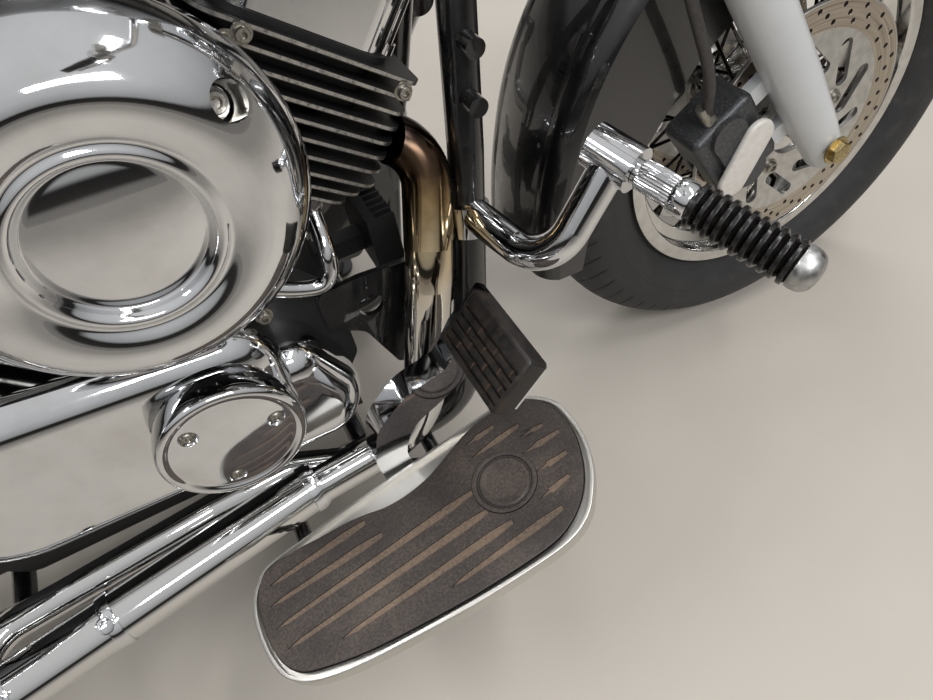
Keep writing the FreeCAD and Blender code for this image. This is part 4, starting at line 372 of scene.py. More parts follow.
# Zinc plate: a soft grey shine with rust in specks of under 2 mm.
screw_zinc, shader = finish_of("zinc_plated_screw_steel", "#A7A39A", 0.35, 1.0)
worn(screw_zinc, shader, 600.0, [(0.0, "#6E5D48"), (0.3, "#A29E95"), (1.0, "#BDBAB2")], (0.28, 0.5), 0.00006)
screws("engine_screws", [((1009, -206, 654), SCREW_OUT)], socket_screw(6.5, 6), screw_zinc, "chassis", "steel")

# Crank cover: a chromed cap with a rolled rim round a low dome, held by three screws in dimples.
CAP = [(0, 0), (0, 61), (14, 62.5), (28, 63.4), (31.5, 62.6), (33.6, 60.4), (34.2, 57.5), (33.2, 55), (31.2, 53.2),
       (31.0, 51.5), (32.6, 44), (33.8, 30), (34.4, 14), (34.6, 0)]
DIMPLE = [(-5.5, 0), (-5.5, 5.5), (-3.5, 7.5), (6, 11), (6, 0)]
HEAD = [(0, 0), (0, 5.2), (2.2, 5.0), (3.6, 3.8), (3.9, 2.4), (2.0, 2.1), (2.0, 0)]
cap = spun("crank_cover_cap", CAP, (912, -168.3, 374), RIGHT, 64, 1)
heads = []
for angle in (12, 132, 252):
    spot = Vector((912 + math.cos(math.radians(angle)) * 41, -202.6, 374 + math.sin(math.radians(angle)) * 41))
    cut_by(cap, spun("dimple_cutter", DIMPLE, spot, RIGHT, 28))
    heads.append((spot + Vector((0, 5.4, 0)), RIGHT))
fitted(cap, chrome_plate, "chassis", "chrome", "crank_cover")
screws("crank_cover_screws", heads, HEAD, screw_zinc, "chassis", "steel")

# Brake discs: stainless rings on pale carriers. The pads grind the swept band dull and brownish, in circles of which
# one a millimetre is drawn, coarser than the real ones so that they show. Its holes, drilled in slanting rows, are not
# cut but painted near black: painted shade in place of real holes.
FRONT_AXLE, REAR_AXLE = (1.640, 0.320), (0.0, TYRE_RADIUS)


def radius_from(material, axle):
    """Radius and angle about a wheel's axle, and the place across the machine, in metres and radians."""
    parts = add_node(material, "SeparateXYZ", links=[("Vector", measured(material))])
    ahead = add_node(material, "Math", [("operation", "SUBTRACT"), (1, axle[0])], [(0, parts.outputs["X"])])
    rise = add_node(material, "Math", [("operation", "SUBTRACT"), (1, axle[1])], [(0, parts.outputs["Z"])])
    flat = add_node(material, "CombineXYZ", links=[("X", ahead), ("Y", rise)])
    radius = add_node(material, "VectorMath", [("operation", "LENGTH")], [(0, flat)])
    angle = add_node(material, "Math", [("operation", "ARCTAN2")], [(0, rise), (1, ahead)])
    return radius.outputs["Value"], angle, parts.outputs["Y"]


def disc_finish(name, axle, inner, outer):
    """Carrier, swept band and drilled spots by their radius from the axle, from the band's inner to its outer edge; the
    drilled spots are painted near black, as painted shade.
    """
    material, shader = finish_of(name, "#BDBBB6", 0.3, 1.0)
    radius, angle = radius_from(material, axle)[:2]
    circles = add_node(material, "Math", [("operation", "MULTIPLY"), (1, 900.0)], [(0, radius)])
    rings = add_node(material, "CombineXYZ", links=[("X", circles), ("Y", angle)])
    grooves = add_node(material, "TexNoise", [("Scale", 1.0), ("Detail", 3.0)], [("Vector", rings)])
    swept = add_node(material, "ValToRGB", [("stops", [(0.3, "#8F8577"), (0.5, "#B5AB9D"), (0.7, "#CFC8BC")])],
                     [("Fac", grooves)])
    haze = add_node(material, "TexNoise", [("Scale", 90.0), ("Detail", 5.0)], [("Vector", measured(material))])
    carrier = add_node(material, "ValToRGB", [("stops", [(0.3, "#B9B8B5"), (0.7, "#D3D2CF")])], [("Fac", haze)])
    within = add_node(material, "MapRange", [("From Min", inner), ("From Max", inner + 0.0006)], [("Value", radius)])
    rim = add_node(material, "MapRange", [("From Min", outer - 0.002), ("From Max", outer - 0.0015), ("To Min", 1.0),
                                          ("To Max", 0.0)], [("Value", radius)])
    band = add_node(material, "Math", [("operation", "MULTIPLY")], [(0, within), (1, rim)])
    metal = add_node(material, "Mix", [("data_type", "RGBA")], [(0, band), (6, carrier), (7, swept)])
    # Three rows of 24 holes, 6 mm wide, each row turned on from the last, painted near black as painted shade.
    turns = add_node(material, "Math", [("operation", "MULTIPLY"), (1, 24 / math.tau)], [(0, angle)])
    painted_hole_shade = None
    for row, offset in ((0.24, 0.0), (0.5, 0.36), (0.76, 0.72)):
        ring = inner + (outer - inner) * row
        moved = add_node(material, "Math", [("operation", "SUBTRACT"), (1, offset)], [(0, turns)])
        share = add_node(material, "Math", [("operation", "FRACT")], [(0, moved)])
        centred = add_node(material, "Math", [("operation", "SUBTRACT"), (1, 0.5)], [(0, share)])
        around = add_node(material, "Math", [("operation", "MULTIPLY"), (1, ring * math.tau / 24)], [(0, centred)])
        outward = add_node(material, "Math", [("operation", "SUBTRACT"), (1, ring)], [(0, radius)])
        spot = add_node(material, "CombineXYZ", links=[("X", around), ("Y", outward)])
        distance = add_node(material, "VectorMath", [("operation", "LENGTH")], [(0, spot)])
        row_hole_shade = add_node(material, "MapRange", [("From Min", 0.0028), ("From Max", 0.0033), ("To Min", 1.0),
                                               ("To Max", 0.0)], [("Value", distance.outputs["Value"])])
        if painted_hole_shade is not None:
            row_hole_shade = add_node(material, "Math", [("operation", "MAXIMUM")], [(0, painted_hole_shade), (1, row_hole_shade)])
        painted_hole_shade = row_hole_shade
    # Painted shade: the drilled spots are coloured near black in place of real holes.
    colour = add_node(material, "Mix", [("data_type", "RGBA"), (7, linear("#151312"))],
                      [(0, painted_hole_shade), (6, metal.outputs[2])])
    dull = add_node(material, "MapRange", [("To Min", 0.36), ("To Max", 0.26)], [("Value", band)])
    solid = add_node(material, "Math", [("operation", "SUBTRACT"), (0, 1.0)], [(1, painted_hole_shade)])
    raised = add_node(material, "Bump", [("Distance", 0.0008), ("Strength", 1.0)], [("Height", solid)])
    surface(material, shader, colour=colour.outputs[2], roughness=dull, normal=raised)
    return material


front_disc_steel = disc_finish("front_disc_ground_steel_painted_hole_shade", FRONT_AXLE, 0.115, 0.149)
paint(front_disc_steel, "front_discs")
paint(disc_finish("rear_disc_ground_steel_painted_hole_shade", REAR_AXLE, 0.107, 0.141), "rear_disc")


# Wheels: chromed steel rims laced to polished hubs with dark steel spokes and plated nipples, all hazed over about
# 17 mm, so that the rims gleam and the spokes stay dull.
def wheel_finish(name, axle, rim):
    """Hub, spokes and rim of one wheel by their radius from the axle."""
    material, shader = finish_of(name, "#C9C8C5", 0.12, 1.0)
    radius = radius_from(material, axle)[0]
    haze = add_node(material, "TexNoise", [("Scale", 60.0), ("Detail", 5.0)], [("Vector", measured(material))])
    bright = add_node(material, "ValToRGB", [("stops", [(0.3, "#C6C5C2"), (0.7, "#DCDBD8")])], [("Fac", haze)])
    dark = add_node(material, "ValToRGB", [("stops", [(0.3, "#2A2826"), (0.7, "#4C4946")])], [("Fac", haze)])
    past_hub = add_node(material, "MapRange", [("From Min", 0.056), ("From Max", 0.058)], [("Value", radius)])
    to_rim = add_node(material, "MapRange", [("From Min", rim - 0.021), ("From Max", rim - 0.019), ("To Min", 1.0),
                                             ("To Max", 0.0)], [("Value", radius)])
    spokes = add_node(material, "Math", [("operation", "MULTIPLY")], [(0, past_hub), (1, to_rim)])
    colour = add_node(material, "Mix", [("data_type", "RGBA")], [(0, spokes), (6, bright), (7, dark)])
    dull = add_node(material, "MapRange", [("From Min", 0.3), ("From Max", 0.7), ("To Min", 0.06), ("To Max", 0.16)],
                    [("Value", haze)])
    surface(material, shader, colour=colour.outputs[2], roughness=dull)
    return material


paint(wheel_finish("front_wheel_chromed_rim_dark_spokes", FRONT_AXLE, 0.203), "front_wheel")
paint(wheel_finish("rear_wheel_chromed_rim_dark_spokes", REAR_AXLE, 0.192), "rear_wheel")


# Tyres: black rubber moulded with slanting drainage grooves over the crown, which are painted near black as painted
# shade, and fine ribs on the sidewall, greyed by road dust in patches of about 20 mm, which leaves it matt.
def tyre_finish(name, axle, outer, bead, half):
    """Grooves by angle and width on the crown, painted near black as painted shade, ribs by radius on the sidewall, and
    dust;
    sizes are the tyre's outer radius, its rim's radius and half its width, in metres."""
    material, shader = finish_of(name, "#2A2A2B", 0.75)
    radius, angle, across = radius_from(material, axle)
    width = add_node(material, "Math", [("operation", "ABSOLUTE")], [(0, across)])
    # Slanting grooves: 62 a turn, which is one each 32 mm, from beside the crown's middle to its shoulder.
    turns = add_node(material, "Math", [("operation", "MULTIPLY"), (1, 62 / math.tau)], [(0, angle)])
    slope = add_node(material, "Math", [("operation", "MULTIPLY"), (1, 26.0)], [(0, width)])
    slant = add_node(material, "Math", [("operation", "ADD")], [(0, turns), (1, slope)])
    share = add_node(material, "Math", [("operation", "FRACT")], [(0, slant)])
    centred = add_node(material, "Math", [("operation", "SUBTRACT"), (1, 0.5)], [(0, share)])
    crossing = add_node(material, "Math", [("operation", "ABSOLUTE")], [(0, centred)])
    groove = add_node(material, "MapRange", [("From Min", 0.05), ("From Max", 0.075), ("To Min", 1.0), ("To Max", 0.0)],
                      [("Value", crossing)])
    begins = add_node(material, "MapRange", [("From Min", half * 0.16), ("From Max", half * 0.2)], [("Value", width)])
    ends = add_node(material, "MapRange", [("From Min", half * 0.93), ("From Max", half * 0.96), ("To Min", 1.0),
                                           ("To Max", 0.0)], [("Value", width)])
    crown = add_node(material, "MapRange", [("From Min", outer * 0.80), ("From Max", outer * 0.815)], [("Value", radius)])
    groove_cut_and_shade = add_node(material, "Math", [("operation", "MULTIPLY")], [(0, groove), (1, begins)])
    groove_cut_and_shade = add_node(material, "Math", [("operation", "MULTIPLY")], [(0, groove_cut_and_shade), (1, ends)])
    groove_cut_and_shade = add_node(material, "Math", [("operation", "MULTIPLY")], [(0, groove_cut_and_shade), (1, crown)])
    # A groove 3 mm wide runs round each side of the crown's middle.
    beside = add_node(material, "Math", [("operation", "SUBTRACT"), (1, half * 0.09)], [(0, width)])
    distance = add_node(material, "Math", [("operation", "ABSOLUTE")], [(0, beside)])
    line = add_node(material, "MapRange", [("From Min", 0.0012), ("From Max", 0.0017), ("To Min", 1.0), ("To Max", 0.0)],
                    [("Value", distance)])
    top = add_node(material, "MapRange", [("From Min", outer * 0.9), ("From Max", outer * 0.91)], [("Value", radius)])
    round_groove = add_node(material, "Math", [("operation", "MULTIPLY")], [(0, line), (1, top)])
    groove_cut_and_shade = add_node(material, "Math", [("operation", "MAXIMUM")], [(0, groove_cut_and_shade), (1, round_groove)])
    # Sidewall: a belt of ribs 1.75 mm apart above the rim, and one ledge further out.
    waves = add_node(material, "Math", [("operation", "MULTIPLY"), (1, 3600.0)], [(0, radius)])
    waves = add_node(material, "Math", [("operation", "SINE")], [(0, waves)])
    above = add_node(material, "MapRange", [("From Min", bead + 0.014), ("From Max", bead + 0.016)], [("Value", radius)])
    below = add_node(material, "MapRange", [("From Min", bead + 0.030), ("From Max", bead + 0.032), ("To Min", 1.0),
                                            ("To Max", 0.0)], [("Value", radius)])
    belt = add_node(material, "Math", [("operation", "MULTIPLY")], [(0, above), (1, below)])
    ribs = add_node(material, "Math", [("operation", "MULTIPLY")], [(0, waves), (1, belt)])
    beyond = add_node(material, "Math", [("operation", "SUBTRACT"), (1, bead + 0.052)], [(0, radius)])
    distance = add_node(material, "Math", [("operation", "ABSOLUTE")], [(0, beyond)])
    ledge = add_node(material, "MapRange", [("From Min", 0.0006), ("From Max", 0.0014), ("To Min", 1.0), ("To Max", 0.0)],
                     [("Value", distance)])
    dust = add_node(material, "TexNoise", [("Scale", 45.0), ("Detail", 8.0), ("Roughness", 0.65)],
                    [("Vector", measured(material))])
    rubber = add_node(material, "ValToRGB", [("stops", [(0.3, "#262627"), (0.55, "#323233"), (0.75, "#45423F")])],
                      [("Fac", dust)])
    # Painted shade: the grooves are coloured near black, where their depth would darken them.
    colour = add_node(material, "Mix", [("data_type", "RGBA"), (7, linear("#0B0B0B"))], [(0, groove_cut_and_shade), (6, rubber)])
    dull = add_node(material, "MapRange", [("From Min", 0.3), ("From Max", 0.7), ("To Min", 0.55), ("To Max", 0.8)],
                    [("Value", dust)])
    # Heights, in millimetres: ribs, ledge and dust stand up, and the grooves go in.
    height = None
    for share, source in ((0.12, ribs), (0.5, ledge), (-2.5, groove_cut_and_shade), (0.12, dust)):
        part = add_node(material, "Math", [("operation", "MULTIPLY"), (1, share)], [(0, source)])
        if height is not None:
            part = add_node(material, "Math", [("operation", "ADD")], [(0, height), (1, part)])
        height = part
    raised = add_node(material, "Bump", [("Distance", 0.001), ("Strength", 1.0)], [("Height", height)])
    surface(material, shader, colour=colour.outputs[2], roughness=dull, normal=raised)
    return material


paint(tyre_finish("front_tyre_moulded_rubber_painted_groove_shade", FRONT_AXLE, 0.320, 0.203, 0.065), "front_tyre")
paint(tyre_finish("rear_tyre_moulded_rubber_painted_groove_shade", REAR_AXLE, TYRE_RADIUS, 0.192, 0.085), "rear_tyre")

# Fork legs: aluminium castings in silver-white paint, smooth and softly shining, with hardly any cloud.
silver_paint, shader = finish_of("silver_white_paint_on_aluminium", "#C9CBCC", 0.38, coat=0.5)
worn(silver_paint, shader, 12.0, [(0.0, "#C8CACC"), (1.0, "#CFD1D2")], (0.3, 0.36), detail=2.0)
paint(silver_paint, "fork_lowers")

# Clamps, switch housings and final drive: aluminium cast and then polished by hand, which leaves a soft pale shine
# clouded over about 55 mm.
polished, shader = finish_of("polished_cast_aluminium", "#C6C5C1", 0.26, 1.0)
worn(polished, shader, 18.0, [(0.0, "#BEBDB9"), (1.0, "#CCCBC7")], (0.22, 0.34))
paint(polished, "triple_clamps", "controls", "final_drive")

# Axles: turned steel left bare, grey and a little stained in spots of about 5 mm.
bare_steel, shader = finish_of("bare_turned_steel", "#A9A8A6", 0.28, 1.0)
worn(bare_steel, shader, 200.0, [(0.0, "#8C8A86"), (1.0, "#B5B3AF")], (0.25, 0.45), 0.00002)
paint(bare_steel, "rear_axle", "front_axle")

# Side stand: a forged leg in black paint, scuffed to dust colour in patches of about 11 mm.
stand_paint, shader = finish_of("black_paint_on_forged_stand", "#151516", 0.4)
worn(stand_paint, shader, 90.0, [(0.0, "#0E0E0F"), (0.8, "#19191A"), (1.0, "#5B544B")], (0.3, 0.5))
paint(stand_paint, "side_stand")


# Front discs: flat rings with ten slanting slots cut through the carrier, bolted to the hub by five screws a side.
def mirror_copy(piece, name):
    """The same piece for the machine's other side, turned right side out."""
    bpy.ops.object.select_all(action="DESELECT")
    piece.select_set(True)
    bpy.context.view_layer.objects.active = piece
    bpy.ops.object.duplicate()
    other = bpy.context.object
    other.name = name
    other.data.transform(PARKED @ Matrix.Diagonal((1, -1, 1, 1)) @ PARKED.inverted())
    bpy.ops.object.mode_set(mode="EDIT")
    bpy.ops.mesh.select_all(action="SELECT")
    bpy.ops.mesh.normals_make_consistent(inside=False)
    bpy.ops.object.mode_set(mode="OBJECT")
    return other


def lozenge(name, start, end, radius, normal, thickness, edge):
    """A round-ended plate from one centre to another, with a rounded edge."""
    bpy.ops.object.select_all(action="DESELECT")
    bpy.ops.mesh.primitive_cylinder_add(vertices=48, radius=radius, depth=thickness)
    piece = bpy.context.object
    piece.name = name
    length = (Vector(end) - Vector(start)).length
    for vertex in piece.data.vertices:
        vertex.co.x += length / 2 if vertex.co.x > 0.001 else -length / 2
    rounded = piece.modifiers.new("edge", "BEVEL")
    rounded.width, rounded.segments, rounded.limit_method, rounded.angle_limit = edge, 4, "ANGLE", math.radians(60)
    bpy.ops.object.modifier_apply(modifier="edge")
    out = Vector(normal).normalized()
    along = (Vector(end) - Vector(start)).normalized()
    turn = Matrix((along, out.cross(along), out)).transposed().to_4x4()
    piece.data.transform(PARKED @ Matrix.Translation((Vector(start) + Vector(end)) / 2) @ turn)
    bpy.ops.object.shade_smooth_by_angle(angle=math.radians(40))
    return piece


DISC_RING = [(-2.5, 36), (-2.5, 148.6), (-2.1, 149), (2.1, 149), (2.5, 148.6), (2.5, 36), (-2.5, 36)]
DISC_BOLT = [(0, 0), (0, 10), (1.5, 10), (2, 7.6), (6, 7.4), (6.6, 6.6), (6.6, 4), (4, 3.6), (4, 0)]
disc = spun("disc_ring", DISC_RING, (1640, -72.5, 320), RIGHT, 120)
for index in range(10):
    turn = math.tau * index / 10
    near = (1640 + math.cos(turn) * 70, -72.5, 320 + math.sin(turn) * 70)
    far = (1640 + math.cos(turn + 0.42) * 98, -72.5, 320 + math.sin(turn + 0.42) * 98)
    cut_by(disc, lozenge("slot_cutter", near, far, 8.5, RIGHT, 12, 0.1))
disc_bolts = []
for index in range(5):
    turn = math.tau * (index + 0.3) / 5
    spot = (1640 + math.cos(turn) * 54, -74.8, 320 + math.sin(turn) * 54)
    disc_bolts.append(spun("disc_bolt", DISC_BOLT, spot, RIGHT, 20))
rings = [disc, mirror_copy(disc, "disc_ring_left")]
together("front_disc_rings", rings, front_disc_steel, "front_wheel", "steel", "front_discs")
copies = [mirror_copy(bolt, "disc_bolt_left") for bolt in disc_bolts]
together("front_disc_bolts", disc_bolts + copies, screw_zinc, "front_wheel", "steel")

# Front calipers: dark painted castings with a grain of about 2.5 mm, each with a pale oval cover over its two pistons.
caliper_paint, shader = finish_of("dark_grey_painted_caliper", "#4A4B4D", 0.42, 0.4)
worn(caliper_paint, shader, 400.0, [(0.0, "#3B3C3E"), (0.8, "#525355"), (1.0, "#77756F")], (0.34, 0.5), 0.0001)
paint(caliper_paint, "front_calipers")
cover_paint, shader = finish_of("pale_painted_oval_cover", "#DAD5CE", 0.4, coat=0.3)
worn(cover_paint, shader, 130.0, [(0.0, "#D2CCC4"), (1.0, "#E0DCD6")], (0.32, 0.46))
cover = lozenge("caliper_cover", (1531, -119, 375), (1506, -119, 325), 19, RIGHT, 9, 3.5)
covers = [cover, mirror_copy(cover, "caliper_cover_left")]
together("caliper_covers", covers, cover_paint, "steering", "aluminium")

# Highway pegs: glossy ribbed rubber on a chromed stem, closed by a domed cap. The rubber still mirrors the lamps, and
# the cap's plating is worn to dull grey in patches of about 9 mm.
peg_rubber, shader = finish_of("glossy_ribbed_peg_rubber", "#0E0D0D", 0.3)
worn(peg_rubber, shader, 160.0, [(0.0, "#0B0A0A"), (1.0, "#191716")], (0.18, 0.34), 0.00004)
paint(peg_rubber, "highway_peg_rubbers")
worn_metal, shader = finish_of("dull_worn_cap_metal", "#B4B4B2", 0.42, 1.0)
worn(worn_metal, shader, 110.0, [(0.0, "#6F6E6C"), (0.35, "#A5A5A3"), (1.0, "#C7C7C5")], (0.3, 0.55), 0.0002)
PEG_CAP = [(-15, 0), (-15, 17.4), (-13, 18.2), (-6, 18), (-1, 16.4), (2.4, 12.6), (4.2, 7), (4.8, 0)]
peg_stem, peg_tip = Vector((1292, -221, 493)), Vector((1348, -362, 460))
peg_out = (peg_tip - peg_stem).normalized()
peg_cap = spun("peg_cap", PEG_CAP, peg_tip, peg_out, 40, 1)
together("peg_caps", [peg_cap, mirror_copy(peg_cap, "peg_cap_left")], worn_metal, "chassis", "chrome")

# Footboards: cast trays with a polished rim, each under a moulded rubber mat with tapered grooves and a plain round
# medallion near its front. The mat is worn grey-brown, and dust lies in its grooves.
pitch, yaw = math.radians(10), math.radians(2.8)
back = Vector((-math.cos(pitch) * math.cos(yaw), -math.cos(pitch) * math.sin(yaw), -math.sin(pitch)))
out = Vector((math.sin(yaw), -math.cos(yaw), 0))
BOARD = Matrix.Translation((1197, -276, 262)) @ Matrix((back, out, back.cross(out))).transposed().to_4x4()


def sheet_form(name, outline, low, high, place, edge=0.0, segments=3):
    """A flat form: a ring of points filled, raised from one level to another, its top edge rounded."""
    bpy.ops.object.select_all(action="DESELECT")
    bpy.ops.mesh.primitive_circle_add(vertices=len(outline), radius=1, fill_type="NGON")
    piece = bpy.context.object
    piece.name = name
    for vertex, (u, v) in zip(piece.data.vertices, outline):
        vertex.co = (u, v, low)
    bpy.ops.object.mode_set(mode="EDIT")
    bpy.ops.mesh.select_all(action="SELECT")
    bpy.ops.mesh.extrude_region_move(TRANSFORM_OT_translate={"value": (0, 0, high - low)})
    bpy.ops.mesh.select_all(action="SELECT")
    bpy.ops.mesh.normals_make_consistent(inside=False)
    bpy.ops.mesh.select_all(action="DESELECT")
    bpy.ops.object.mode_set(mode="OBJECT")
    if edge:
        for line in piece.data.edges:
            line.select = all(abs(piece.data.vertices[i].co.z - high) < 1e-4 for i in line.vertices)
        bpy.ops.object.mode_set(mode="EDIT")
        bpy.ops.mesh.bevel(offset=edge, segments=segments)
        bpy.ops.object.mode_set(mode="OBJECT")
    piece.data.transform(PARKED @ place)
    bpy.ops.object.shade_smooth_by_angle(angle=math.radians(35))
    return piece


def rounded_line(points, steps=4):
    """A closed line through points, smoothed between them."""
    count, line = len(points), []
    for i in range(count):
        a, b, c, d = [Vector(points[(i + k) % count]) for k in (-1, 0, 1, 2)]
        for step in range(steps):
            t = step / steps
            curve = (2 * a - 5 * b + 4 * c - d) * t * t + (3 * b - a - 3 * c + d) * t ** 3
            line.append(0.5 * (2 * b + (c - a) * t + curve))
    return [(p.x, p.y) for p in line]


MAT_LINE = [(16, -55), (4.5, -41), (0.6, -21), (2, 2), (10, 25), (22, 46), (38, 63), (58, 75), (81, 80.5), (118, 80.5),
            (170, 77), (219, 71), (268, 63), (305, 53), (327, 44), (340, 29), (346, 7), (347, -17), (344, -40),
            (336, -57), (322, -66), (293, -66.5), (260, -62), (237, -59.5), (216, -55), (196, -49), (174, -46.5),
            (149, -48.5), (128, -54), (104, -62.5), (81, -68.5), (51, -69), (33, -65)]
TRAY_LINE = [(10, -58), (-3, -40), (-6, -18), (-3, 12), (8, 40), (24, 62), (42, 78), (68, 86.5), (107, 87), (172, 83),
             (236, 75), (284, 67), (313, 59), (333, 49), (347, 33), (353.5, 8), (354, -22), (349, -45), (338, -61),
             (321, -71), (256, -74), (219, -75), (176, -75), (112, -75), (50, -74.5), (26, -69)]
RIM_WIDTH = 4.2
rim_outer = rounded_line(TRAY_LINE)
middle = Vector((175, 6))
rim_inner = []
for point in rim_outer:
    reach = Vector(point) - middle
    rim_inner.append(tuple(middle + reach * (1 - RIM_WIDTH / max(reach.length, 1))))
tray_rim = sheet_form("tray_rim", rim_outer, -11.9, 5.0, BOARD, 1.6)
cut_by(tray_rim, sheet_form("rim_cutter", rim_inner, -1.0, 9.0, BOARD))
tray_left = mirror_copy(tray_rim, "tray_left")
# Cast aluminium, satin with a nearly even sheen.
tray_metal, shader = finish_of("satin_cast_aluminium_tray", "#C8C5BF", 0.36, 0.85)
worn(tray_metal, shader, 9.0, [(0.0, "#C0BDB7"), (1.0, "#D2CFC9")], (0.3, 0.42))
together("footboard_trays", [tray_rim, tray_left], tray_metal, "chassis", "aluminium", "footboards")

GROOVES = (((328, -48), (219, -47)), ((335, -29), (210, -25)), ((337, -6), (116, -7)), ((333, 17), (114, 18)),
           ((285, 39), (100, 41)), ((178, 59), (55, 58)), ((99, -38), (41, -39)), ((57, -10), (13, -8)),
           ((56, 14), (20, 15)), ((69, 39), (32, 36)), ((98, -54), (62, -54)), ((48, -27), (22, -24)))
MEDALLION = [(6.9, 0), (6.9, 32.5), (8.6, 31.8), (8.9, 30.4), (8.9, 28.2), (8.4, 27), (7.5, 26.4), (7.4, 25.5),
             (8.2, 24.6), (8.7, 23.5), (8.7, 22), (8.3, 21), (8.0, 16), (7.9, 0)]
mat = sheet_form("footboard_mat", rounded_line(MAT_LINE), 0.3, 7.3, BOARD, 2.6, 4)
cutters = []
for start, end in GROOVES:
    start, end = Vector(start), Vector(end)
    along = (end - start).normalized()
    side = Vector((-along.y, along.x))
    wide = 4.6 if (end - start).length > 80 else 3.8
    outline = [start, start + along * 14 + side * wide * 0.5, end - along * 24 + side * wide, end + side * wide * 0.6,
               end - side * wide * 0.6, end - along * 24 - side * wide, start + along * 14 - side * wide * 0.5]
    cutters.append(sheet_form("groove_cutter", [tuple(p) for p in outline], 5.9, 9.0, BOARD))
for cutter in cutters:
    cut_by(mat, cutter)
# Moulded rubber: matt, with a grain of about 2.4 mm in patches of about 60 mm, grey-brown on its level faces. Faces
# that don't face up, such as the grooves' walls, are near black and glossy, and the grooves' floors hold dust.
mat_rubber, shader = finish_of("worn_moulded_mat_rubber", "#3A3330", 0.62)
place = measured(mat_rubber)
grain = add_node(mat_rubber, "TexNoise", [("Scale", 420.0), ("Detail", 8.0), ("Roughness", 0.7)], [("Vector", place)])
patches = add_node(mat_rubber, "TexNoise", [("Scale", 16.0), ("Detail", 5.0)], [("Vector", place)])
fine = add_node(mat_rubber, "Math", [("operation", "MULTIPLY"), (1, 0.6)], [(0, grain)])
broad = add_node(mat_rubber, "Math", [("operation", "MULTIPLY"), (1, 0.4)], [(0, patches)])
mixed = add_node(mat_rubber, "Math", [("operation", "ADD")], [(0, fine), (1, broad)])
top = add_node(mat_rubber, "ValToRGB", [("stops", [(0.36, "#2A2523"), (0.5, "#3D3632"), (0.64, "#5A5048")])],
               [("Fac", mixed)])
dusty = add_node(mat_rubber, "ValToRGB", [("stops", [(0.36, "#4A3E35"), (0.64, "#857260")])], [("Fac", mixed)])
# Height above the tray, the same for both boards: the left one's places are mirrored to the right one.
to_board = (Matrix.Scale(0.001, 4) @ BOARD @ Matrix.Scale(1000, 4)).inverted()
sides = add_node(mat_rubber, "SeparateXYZ", links=[("Vector", place)])
width = add_node(mat_rubber, "Math", [("operation", "ABSOLUTE")], [(0, sides.outputs["Y"])])
width = add_node(mat_rubber, "Math", [("operation", "MULTIPLY"), (1, -1.0)], [(0, width)])
mirrored = add_node(mat_rubber, "CombineXYZ", links=[("X", sides.outputs["X"]), ("Y", width), ("Z", sides.outputs["Z"])])
board_z = to_board.to_3x3().row[2]
above = add_node(mat_rubber, "VectorMath", [("operation", "DOT_PRODUCT"), (1, board_z)], [(0, mirrored)])
depth = add_node(mat_rubber, "Math", [("operation", "ADD"), (1, to_board.translation.z)],
                 [(0, above.outputs["Value"])])
low = add_node(mat_rubber, "MapRange", [("From Min", 0.0060), ("From Max", 0.0069), ("To Min", 1.0), ("To Max", 0.0)],
               [("Value", depth)])
board_up = (UPRIGHT.to_3x3() @ (to_board.inverted().to_3x3() @ Vector((0, 0, 1)))).normalized()
normal = add_node(mat_rubber, "NewGeometry").outputs["Normal"]
facing = add_node(mat_rubber, "VectorMath", [("operation", "DOT_PRODUCT"), (1, board_up)], [(0, normal)])
level = add_node(mat_rubber, "MapRange", [("From Min", 0.7), ("From Max", 0.95)], [("Value", facing.outputs["Value"])])
inside = add_node(mat_rubber, "Math", [("operation", "MULTIPLY")], [(0, low), (1, level)])
# Faces that don't face up are coloured near black, by the direction they face.
face = add_node(mat_rubber, "Mix", [("data_type", "RGBA"), (6, linear("#0D0C0C"))], [(0, level), (7, top)])
colour = add_node(mat_rubber, "Mix", [("data_type", "RGBA")], [(0, inside), (6, face.outputs[2]), (7, dusty)])
dull = add_node(mat_rubber, "MapRange", [("To Min", 0.16), ("To Max", 0.66)], [("Value", level)])
raised = add_node(mat_rubber, "Bump", [("Distance", 0.00035), ("Strength", 1.0)], [("Height", grain)])
surface(mat_rubber, shader, colour=colour.outputs[2], roughness=dull, normal=raised)
medallion = spun("mat_medallion", MEDALLION, (0, 0, 0), (0, 0, 1), 64)
medallion.data.transform(PARKED @ BOARD @ Matrix.Translation((85, 3, 0)) @ PARKED.inverted())
mats = [mat, medallion, mirror_copy(mat, "mat_left"), mirror_copy(medallion, "medallion_left")]
together("footboard_mats", mats, mat_rubber, "chassis", "rubber", "footboard_pads")

# Brake pedal's pad: black rubber with thick chamfered sides, long grooves and short staggered bars worn brown.
pad_up = Vector((-0.71, 0, 0.70)).normalized()
pad_along = Vector((0.70, 0, 0.71)).normalized()
PAD = Matrix.Translation((1138, -206, 400)) @ Matrix((RIGHT, pad_along, pad_up)).transposed().to_4x4()
pad_line = [(3, -28), (93, -28), (96, -25), (96, 25), (93, 28), (3, 28), (0, 25), (0, -25)]
pad = sheet_form("pedal_pad", pad_line, 0.3, 20, PAD, 3.4, 3)
for b in (-20, -12, -4, 4, 12):
    cut_by(pad, sheet_form("groove_cutter", [(5, b - 1.3), (93, b - 1.3), (93, b + 1.3), (5, b + 1.3)], 17.6, 22, PAD))
